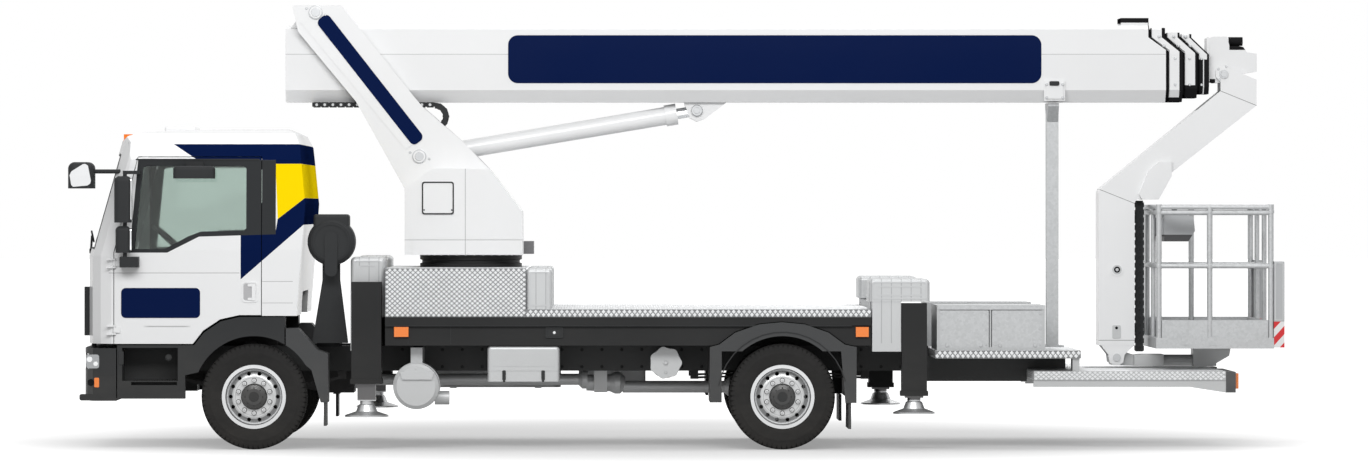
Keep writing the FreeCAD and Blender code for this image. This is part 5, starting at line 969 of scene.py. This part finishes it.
@single(black_plastic, "cab")
def wipers(heap):
    for y in WIPER_Y:
        heap.bar(on_screen(y, 1.492, 0.018), on_screen(y - 0.252, 1.6, 0.02), 0.008)
        heap.bar(on_screen(y - 0.02, 1.56, 0.014), on_screen(y - 0.48, 1.64, 0.014), 0.006)


@single(black_plastic, "cab")
def windscreen_seal(heap):
    steps = 12
    corners = [(-0.955, 1.512), (0.955, 1.512), (0.905, 2.215), (-0.905, 2.215)]
    for (y1, z1), (y2, z2) in zip(corners, corners[1:] + corners[:1]):
        line = [(y1 + (y2 - y1) * k / steps, z1 + (z2 - z1) * k / steps) for k in range(steps + 1)]
        heap.line([on_screen(y, z, 0.002 - SCREEN_BEND * (y / SCREEN_HALF) ** 4) for y, z in line], 0.007)


# Front mirror's glass and door mirror glasses

@single(silvered_glass, "cab", CAB_HALF, -1)
def front_mirror_glass(heap):
    outline = [(-4.574, 2.062), (-4.562, 1.988), (-4.548, 1.974), (-4.44, 1.984), (-4.42, 1.998),
               (-4.414, 2.02), (-4.436, 2.132), (-4.456, 2.146), (-4.474, 2.144), (-4.56, 2.09)]
    heap.prism(outline, -0.0005, 0.003)


@on_sides(silvered_glass, "door_")
def mirror_glass(heap):
    for z1, z2 in ((1.722, 2.038), (1.496, 1.664)):
        outline = [(heap.sign * y, z) for y, z in rounded(1.172, 1.254, z1, z2, 0.018)]
        heap.prism(outline, -4.1095, -4.0985, axis="x")


# Toolbox, lockers and silver covers

TOOLBOX = (-1.44, -0.898)


@single(black_plastic, "chassis", TOOLBOX_HALF, -1)
def toolbox_latches(heap):
    for x in (-1.315, -1.022):
        heap.plate(x - 0.013, x + 0.013, 0.524, 0.596, 0.006, 0.0, 0.008, 3)
        heap.plate(x - 0.008, x + 0.008, 0.508, 0.57, 0.005, 0.006, 0.016, 3)


@single(silver_paint, "chassis", TOOLBOX_HALF, -1)
def toolbox_pressing(heap):
    x1, x2 = TOOLBOX
    heap.plate(x1 + 0.012, x2 - 0.012, 0.592, 0.602, 0.004, -0.001, 0.0035, 2)
    heap.plate(x1 + 0.03, x2 - 0.03, 0.625, 0.75, 0.02, -0.001, 0.0025)


@on_sides(galvanised_metal, "chassis", LOCKER_HALF)
def locker_flaps(heap):
    for x1, x2 in ((1.952, 2.326), (2.35, 2.734)):
        heap.plate(x1, x2, 0.766, 1.046, 0.006, -0.001, 0.0045, 2)
        for x in (x1 + 0.022, x2 - 0.022):
            for z in (0.79, 0.906, 1.022):
                heap.disc((x, z), 0.008, 0.004, 0.0085, 10)
        for x in (x1 + 0.06, x2 - 0.06):
            heap.disc((x, 0.784), 0.014, 0.004, 0.013, 14)
    heap.plate(1.94, 2.744, 1.052, 1.08, 0.004, 0.0045, 0.011, 2)


@on_sides(silver_paint, "chassis")
def cover_pressings(heap):
    heap.face = FRONT_COVER_HALF
    for inset in (0.026, 0.06):
        heap.frame(-2.475 + inset, -2.214 - inset, 1.010 + inset, 1.446 - inset, 0.02, 0.014, -0.001, 0.0035)
    heap.face = REAR_COVER_HALF
    for inset in (0.022, 0.054):
        foot = 1.112 + inset * 0.8
        heap.frame(1.424 + inset, 1.88 - inset, foot, 1.284 - inset, 0.018, 0.012, -0.001, 0.0025)
    heap.face = MIDDLE_COVER_HALF
    heap.frame(-1.128, -0.978, 1.08, 1.338, 0.02, 0.014, -0.0005, 0.0035)


# Silencer face with its bracket, and the lobed plate of the valve

SILENCER_X, SILENCER_Z, SILENCER_RADIUS = -1.976, 0.477, 0.150
VALVE_X, VALVE_Z = -0.1, 0.649
LOBES, LOBE_RADIUS, LOBE_SWELL = 7, 0.116, 0.006


@single(silver_paint, "chassis", SILENCER_HALF, -1)
def silencer_face(heap):
    heap.disc((SILENCER_X, SILENCER_Z), SILENCER_RADIUS, -0.001, 0.0035, 48, 0.003)
    heap.disc((SILENCER_X, 0.61), 0.008, 0.0035, 0.0085, 10)
    heap.prism([(-2.096, 0.586), (-1.838, 0.586), (-1.856, 0.528), (-2.078, 0.528)], 0.001, 0.021)


@single(silver_paint, "chassis", VALVE_HALF, -1)
def lobed_plate(heap):
    outline = []
    for k in range(16 * LOBES):
        a = 2 * math.pi * k / (16 * LOBES)
        size = LOBE_RADIUS + LOBE_SWELL * math.cos(LOBES * a)
        outline.append((VALVE_X + size * math.cos(a), VALVE_Z + size * math.sin(a)))
    heap.prism(outline, -0.001, 0.014)
    heap.bolt((VALVE_X, VALVE_Z), 0.016, 0.013, 0.027)
    heap.bolt((VALVE_X, 0.578), 0.011, 0.013, 0.023)


# Frame details: panel joints, lamp frames and bolt rows

@on_sides(black_plastic, "chassis", SKIRT_HALF)
def frame_trim(heap):
    for x in (-2.036, -1.716, 0.52):
        heap.plate(x - 0.003, x + 0.003, 0.79, 0.93, 0.002, -0.0005, 0.002, 2)
    heap.plate(-2.205, 1.296, 0.927, 0.934, 0.003, 0.021, 0.0245, 2)
    heap.frame(-1.004, -0.872, 0.84, 0.92, 0.01, 0.006, -0.0005, 0.011)
    heap.plate(-0.996, -0.88, 0.848, 0.912, 0.006, -0.0005, 0.005)


@on_sides(clear_lens, "chassis", SKIRT_HALF)
def frame_lamp(heap):
    heap.disc((-0.938, 0.88), 0.011, 0.0045, 0.0085, 14)


@on_sides(dark_paint, "chassis", FRAME_HALF)
def frame_bolts(heap):
    for k in range(26):
        x = -2.10 + k * 0.152
        if abs(x - FRONT_AXLE) > 0.5 and abs(x - REAR_AXLE) > 0.45:
            heap.bolt((x, 0.735), 0.009, -0.0005, 0.01)
            heap.bolt((x, 0.605), 0.009, -0.0005, 0.01)


# Slewing ring bolts, tower pins, lift pins and the turret's hatches

SLEW_X, RING_BOLT_CIRCLE, RING_BOLTS = -1.587, 0.384, 36
LIFT_EYE = (0.149, 2.563)


@single(steel, "chassis")
def ring_bolts(heap):
    for centre in circle(SLEW_X, 0.0, RING_BOLT_CIRCLE, RING_BOLTS, 0.5):
        heap.bolt(centre, 0.01, 1.4515, 1.457, axis="z")


@on_sides(steel, "turret", TOWER_HALF)
def tower_pins(heap):
    for x, z, out in ((-2.77, 3.312, 0.016), (-1.977, 2.21, 0.014)):
        heap.disc((x, z), 0.053, 0.0005, out - 0.004, 32)
        heap.disc((x, z), 0.034, out - 0.004, out + 0.004, 28)
        heap.bolt((x + 0.075, z - 0.02), 0.008, -0.0005, 0.008)
        heap.bolt((x - 0.07, z + 0.03), 0.008, -0.0005, 0.008)


@on_sides(steel, "boom", LIFT_EYE_HALF)
def lift_eye(heap):
    heap.disc(LIFT_EYE, 0.044, -0.0005, 0.022, 28)
    heap.disc(LIFT_EYE, 0.024, 0.022, 0.028)


@on_sides(dark_paint, "turret", TURRET_HALF)
def turret_hatch_trim(heap):
    for x in (-1.935, -1.724):
        heap.disc((x, 1.8), 0.006, -0.0005, 0.004, 12)
    heap.frame(-1.952, -1.708, 1.766, 2.016, 0.02, 0.014, -0.0005, 0.0035)


# Collar bolts, clamps and fittings at the boom's front and on the jib

JIB_FITTING = (3.372, 1.342)

for side, sign in SIDES:
    for body, section in SECTIONS.items():
        shift, half = section[:2]
        heap = Heap(sign, half)
        for x, z in ((3.566, 3.13), (3.604, 3.06), (3.69, 2.96), (3.69, 2.76)):
            heap.bolt((x + shift, z), 0.011, -0.02, 0.006)
        heap.make("collar_bolts_%s_%s" % (body, side), steel, body)


@on_sides(steel, "boom", CLAMP_HALF)
def clamp_bolts(heap):
    for x in (2.826, 2.948):
        for z in (2.66, 2.76):
            heap.bolt((x, z), 0.009, -0.0005, 0.009)


@on_sides(black_plastic, "boom", CLAMP_HALF)
def clamp_pad(heap):
    heap.plate(2.846, 2.922, 2.752, 2.786, 0.01, 0.0, 0.01, 3)


@on_sides(steel, "jib", JIB_HALF)
def jib_pin(heap):
    heap.bolt((4.19, 2.842), 0.026, 0.007, 0.018)
    for x, z in ((4.15, 2.88), (4.21, 2.9), (4.16, 2.8)):
        heap.bolt((x, z), 0.008, -0.0005, 0.006)


@on_sides(silver_paint, "jib", JIB_HALF)
def jib_fittings(heap):
    heap.disc(JIB_FITTING, 0.036, 0.0045, 0.008, 28)
    heap.disc(JIB_FITTING, 0.012, 0.009, 0.011, 20)
    heap.plate(3.336, 3.4, 0.815, 0.915, 0.008, -0.0005, 0.005, 3)


@on_sides(black_gap, "jib", JIB_HALF)
def jib_fitting_rings(heap):
    heap.disc(JIB_FITTING, 0.024, 0.008, 0.0092, 28)
    heap.disc((3.368, 0.895), 0.011, 0.005, 0.0062, 16)


# Energy chain link pins

@on_sides(dark_paint, "jib", JIB_CHAIN_HALF)
def jib_chain_pins(heap):
    for k in range(20):
        heap.disc((3.554, 0.712 + (k + 0.5) * 0.058), 0.011, -0.0005, 0.0035, 12)


@single(silver_paint, "boom", BOOM_CHAIN_HALF, -1)
def boom_chain_pins(heap):
    for k in range(15):
        heap.disc((-2.765 + k * 0.062, 2.606), 0.011, -0.0005, 0.0035, 12)


# Seat cushions: crowned, drawn in at their ends, with two sewn channels

SEAT_SIDE, SEAT_MIDDLE = 0.968, 0.502
CHANNELS, CHANNEL_WIDTH, CHANNEL_DEPTH = (-0.42, 0.42), 0.035, 0.045
CUSHION_END, CUSHION_CROWN = 0.7, 0.012


def smooth_loop(corners, rounds=3):
    """Corners cut in turn into a smooth closed outline."""
    for _ in range(rounds):
        cut = []
        for (x1, z1), (x2, z2) in zip(corners, corners[1:] + corners[:1]):
            cut += [(x1 + (x2 - x1) * share, z1 + (z2 - z1) * share) for share in (0.25, 0.75)]
        corners = cut
    return corners


SEAT = smooth_loop([(-3.735, 1.232), (-3.15, 1.228), (-3.128, 1.345), (-3.18, 1.384), (-3.42, 1.376),
                    (-3.64, 1.4), (-3.728, 1.372), (-3.742, 1.29)])
BACK = smooth_loop([(-3.236, 1.392), (-3.098, 1.322), (-2.975, 1.86), (-2.962, 1.95), (-3.000, 1.976),
                    (-3.072, 1.972), (-3.14, 1.89), (-3.222, 1.57), (-3.272, 1.44)])
HEAD = smooth_loop([(-3.066, 1.934), (-2.95, 1.934), (-2.932, 2.136), (-3.058, 2.138)])


def cushion(name, outline, low, high, channels):
    """A closed cushion around an outline in X and Z; its ends pull in and its channels are sewn down."""
    count, steps = len(outline), 44
    centre_x = sum(x for x, _ in outline) / count
    centre_z = sum(z for _, z in outline) / count
    arms = [(x - centre_x, z - centre_z) for x, z in outline]
    points = []
    for row in range(steps + 1):
        across = math.sin((2 * row / steps - 1) * math.pi / 2)
        y = (low + high) / 2 + (high - low) / 2 * across
        size = CUSHION_END + (1 - CUSHION_END) * (1 - abs(across) ** 7) ** (1 / 5)
        sewn = sum(math.exp(-((across - channel) / CHANNEL_WIDTH) ** 2) for channel in channels)
        size *= 1.0 - CHANNEL_DEPTH * sewn + CUSHION_CROWN * math.cos(across * math.pi / 2)
        points += [(centre_x + x * size, y, centre_z + z * size) for x, z in arms]
    pad = piece(name, points, tube_faces(steps + 1, count), seat_cloth, "cab", 60)


for side, sign in SIDES:
    low, high = sorted((sign * SEAT_MIDDLE, sign * SEAT_SIDE))
    cushion("seat_cushion_" + side, SEAT, low, high, CHANNELS)
    cushion("seat_back_" + side, BACK, low + 0.012, high - 0.012, CHANNELS)
    cushion("seat_head_" + side, HEAD, low + 0.088, high - 0.088, ())


# Basket: clamps, tabs, board frames and control levers

@on_sides(galvanised_metal, "basket", BASKET_HALF)
def basket_clamps(heap):
    for x in (3.836, 4.052):
        heap.plate(x - 0.028, x + 0.028, 0.776, 0.842, 0.006, -0.0005, 0.004, 3)
    for x in (3.64, 4.025, 4.488):
        for z in (1.376, 1.79):
            heap.disc((x, heap.sign * RAIL_Y), 0.0255, z - 0.014, z + 0.014, 20, axis="z")
    heap.disc((3.64, 0.905), 0.012, -0.01, 0.002, 14)


@on_sides(silver_paint, "basket", BASKET_HALF)
def board_frame(heap):
    heap.frame(4.516, 4.584, 0.962, 1.404, 0.01, 0.006, -0.0045, -0.0005)


@single(black_plastic, "basket")
def control_levers(heap):
    for y in (-0.36, -0.29, -0.22, -0.15):
        heap.disc((3.8, y), 0.01, 1.774, 1.822, 14, axis="z")
        heap.disc((3.8, y), 0.015, 1.815, 1.84, 16, axis="z")


# Air intake rings, the steps' treads and the rear mudguards' lips

INTAKE = (-2.62, 1.56)
LIP_RADIUS, LIP_START, LIP_STEP, LIP_PARTS = 0.486, 14, 10.4, 15
TREAD_X, TREAD_Z, TREAD_PITCH, TREADS = -4.1, 0.5195, 0.019, 18


@single(black_plastic, "chassis", INTAKE_HALF, -1)
def intake_rings(heap):
    for radius in (0.14, 0.06):
        heap.ring(circle(*INTAKE, radius, 40), circle(*INTAKE, radius - 0.012, 40), 0.0005, 0.0065)
    heap.plate(-2.668, -2.572, 1.3, 1.64, 0.046, -0.002, 0.012)


@on_sides(black_plastic, "cab", CAB_HALF)
def step_treads(heap):
    for k in range(TREADS):
        x = TREAD_X + k * TREAD_PITCH
        heap.bar((x, -0.23, TREAD_Z), (x, -0.03, TREAD_Z), 0.003)
    heap.plate(-4.204, -4.168, 0.64, 0.74, 0.01, 0.0045, 0.01)
    heap.bolt((-3.832, 0.694), 0.018, 0.0, 0.01)


@on_sides(black_plastic, "chassis", DECK_HALF)
def mudguard_lip(heap):
    turns = [math.radians(LIP_START + k * LIP_STEP) for k in range(LIP_PARTS + 1)]
    arc = [(REAR_AXLE + LIP_RADIUS * math.cos(a), AXLE_Z + LIP_RADIUS * math.sin(a)) for a in turns]
    heap.line([(x, 0.0035, z) for x, z in arc], 0.004)


# Floor, light and camera

IMAGE = (1368, 471)
PIXEL_AT_SIDE = 0.0075
SIDE_Y = -1.120
CAMERA_DISTANCE = 43.0
VANISHING_PIXEL = (598, 208)
VANISHING_X, CAMERA_HEIGHT = -0.610, 1.815
SENSOR = 36.0
FLOOR_HALF = 160
FLOOR_GREY = (0.46, 0.46, 0.46, 1)
SHADE_CENTRE_Y, SHADE_SQUEEZE = -0.8, 0.95
SHADE_RAMP = (2.6, 7.0, 0.31, 1.0)
SKY_LIGHT = 0.45

camera_data = bpy.data.cameras.new("camera")
camera = bpy.data.objects.new("camera", camera_data)
bpy.context.scene.collection.objects.link(camera)
camera.location = (VANISHING_X, SIDE_Y - CAMERA_DISTANCE, CAMERA_HEIGHT)
camera.rotation_euler = (math.radians(90), 0, 0)
camera_data.sensor_width = SENSOR
camera_data.lens = CAMERA_DISTANCE / PIXEL_AT_SIDE / IMAGE[0] * SENSOR
camera_data.shift_x = (IMAGE[0] / 2 - VANISHING_PIXEL[0]) / IMAGE[0]
camera_data.shift_y = (VANISHING_PIXEL[1] - IMAGE[1] / 2) / IMAGE[0]
camera_data.clip_start = 0.5
camera_data.clip_end = 400
bpy.context.scene.camera = camera


def math_node(nodes, links, kind, first, second):
    node = nodes.new("ShaderNodeMath")
    node.operation = kind
    links.new(first, node.inputs[0])
    links.new(second, node.inputs[1])
    return node.outputs[0]


def seen_ray(nodes, links):
    """1 for rays that see the background directly, in a mirror or through glass."""
    path = nodes.new("ShaderNodeLightPath").outputs
    mirrored = math_node(nodes, links, "MAXIMUM", path["Is Camera Ray"], path["Is Glossy Ray"])
    return math_node(nodes, links, "MAXIMUM", mirrored, path["Is Transmission Ray"])


def make_floor():
    """A grey floor that glows white around the truck, and less close to it."""
    size = FLOOR_HALF
    mesh = bpy.data.meshes.new("floor")
    corners = [(-size, -size, 0), (size, -size, 0), (size, size, 0), (-size, size, 0)]
    mesh.from_pydata(corners, [], [(0, 1, 2, 3)])
    floor = bpy.data.objects.new("floor", mesh)
    bpy.context.scene.collection.objects.link(floor)
    material = bpy.data.materials.new("floor")
    material.use_nodes = True
    nodes, links = material.node_tree.nodes, material.node_tree.links
    nodes.clear()
    diffuse = nodes.new("ShaderNodeBsdfDiffuse")
    diffuse.inputs["Color"].default_value = FLOOR_GREY
    place = nodes.new("ShaderNodeTexCoord").outputs["Object"]
    spread = nodes.new("ShaderNodeMapping")
    spread.inputs["Location"].default_value = (0, SHADE_CENTRE_Y, 0)
    spread.inputs["Scale"].default_value = (SHADE_SQUEEZE, 1, 1)
    links.new(place, spread.inputs["Vector"])
    distance = nodes.new("ShaderNodeVectorMath")
    distance.operation = "LENGTH"
    links.new(spread.outputs[0], distance.inputs[0])
    ramp = nodes.new("ShaderNodeMapRange")
    ramp.interpolation_type = "SMOOTHSTEP"
    for socket, value in zip(ramp.inputs[1:5], SHADE_RAMP):
        socket.default_value = value
    links.new(distance.outputs["Value"], ramp.inputs[0])
    glow = nodes.new("ShaderNodeEmission")
    strength = math_node(nodes, links, "MULTIPLY", seen_ray(nodes, links), ramp.outputs[0])
    links.new(strength, glow.inputs["Strength"])
    add = nodes.new("ShaderNodeAddShader")
    links.new(diffuse.outputs[0], add.inputs[0])
    links.new(glow.outputs[0], add.inputs[1])
    links.new(add.outputs[0], nodes.new("ShaderNodeOutputMaterial").inputs["Surface"])
    mesh.materials.append(material)


def make_world():
    """White all round, and dimmer as a light than it looks."""
    world = bpy.data.worlds.new("studio")
    bpy.context.scene.world = world
    world.use_nodes = True
    nodes, links = world.node_tree.nodes, world.node_tree.links
    background = nodes["Background"]
    background.inputs["Color"].default_value = (1, 1, 1, 1)
    scale = nodes.new("ShaderNodeMath")
    scale.operation = "MULTIPLY_ADD"
    scale.inputs[1].default_value = 1 - SKY_LIGHT
    scale.inputs[2].default_value = SKY_LIGHT
    links.new(seen_ray(nodes, links), scale.inputs[0])
    links.new(scale.outputs[0], background.inputs["Strength"])


def area_light(name, place, target, size, power):
    data = bpy.data.lights.new(name, "AREA")
    data.shape = "RECTANGLE"
    data.size, data.size_y = size
    data.energy = power
    light = bpy.data.objects.new(name, data)
    bpy.context.scene.collection.objects.link(light)
    light.location = place
    light.rotation_euler = (Vector(target) - Vector(place)).to_track_quat("-Z", "Y").to_euler()


make_floor()
make_world()
area_light("key", (-1, -12, 8.5), (0, 0, 1.4), (14, 4), 1380)
area_light("top", (1, 1, 11), (0, 0, 1), (12, 6), 500)
area_light("rim", (6, 8, 7), (0, 0, 1.4), (7, 4), 200)
bpy.context.scene.view_settings.view_transform = "Standard"
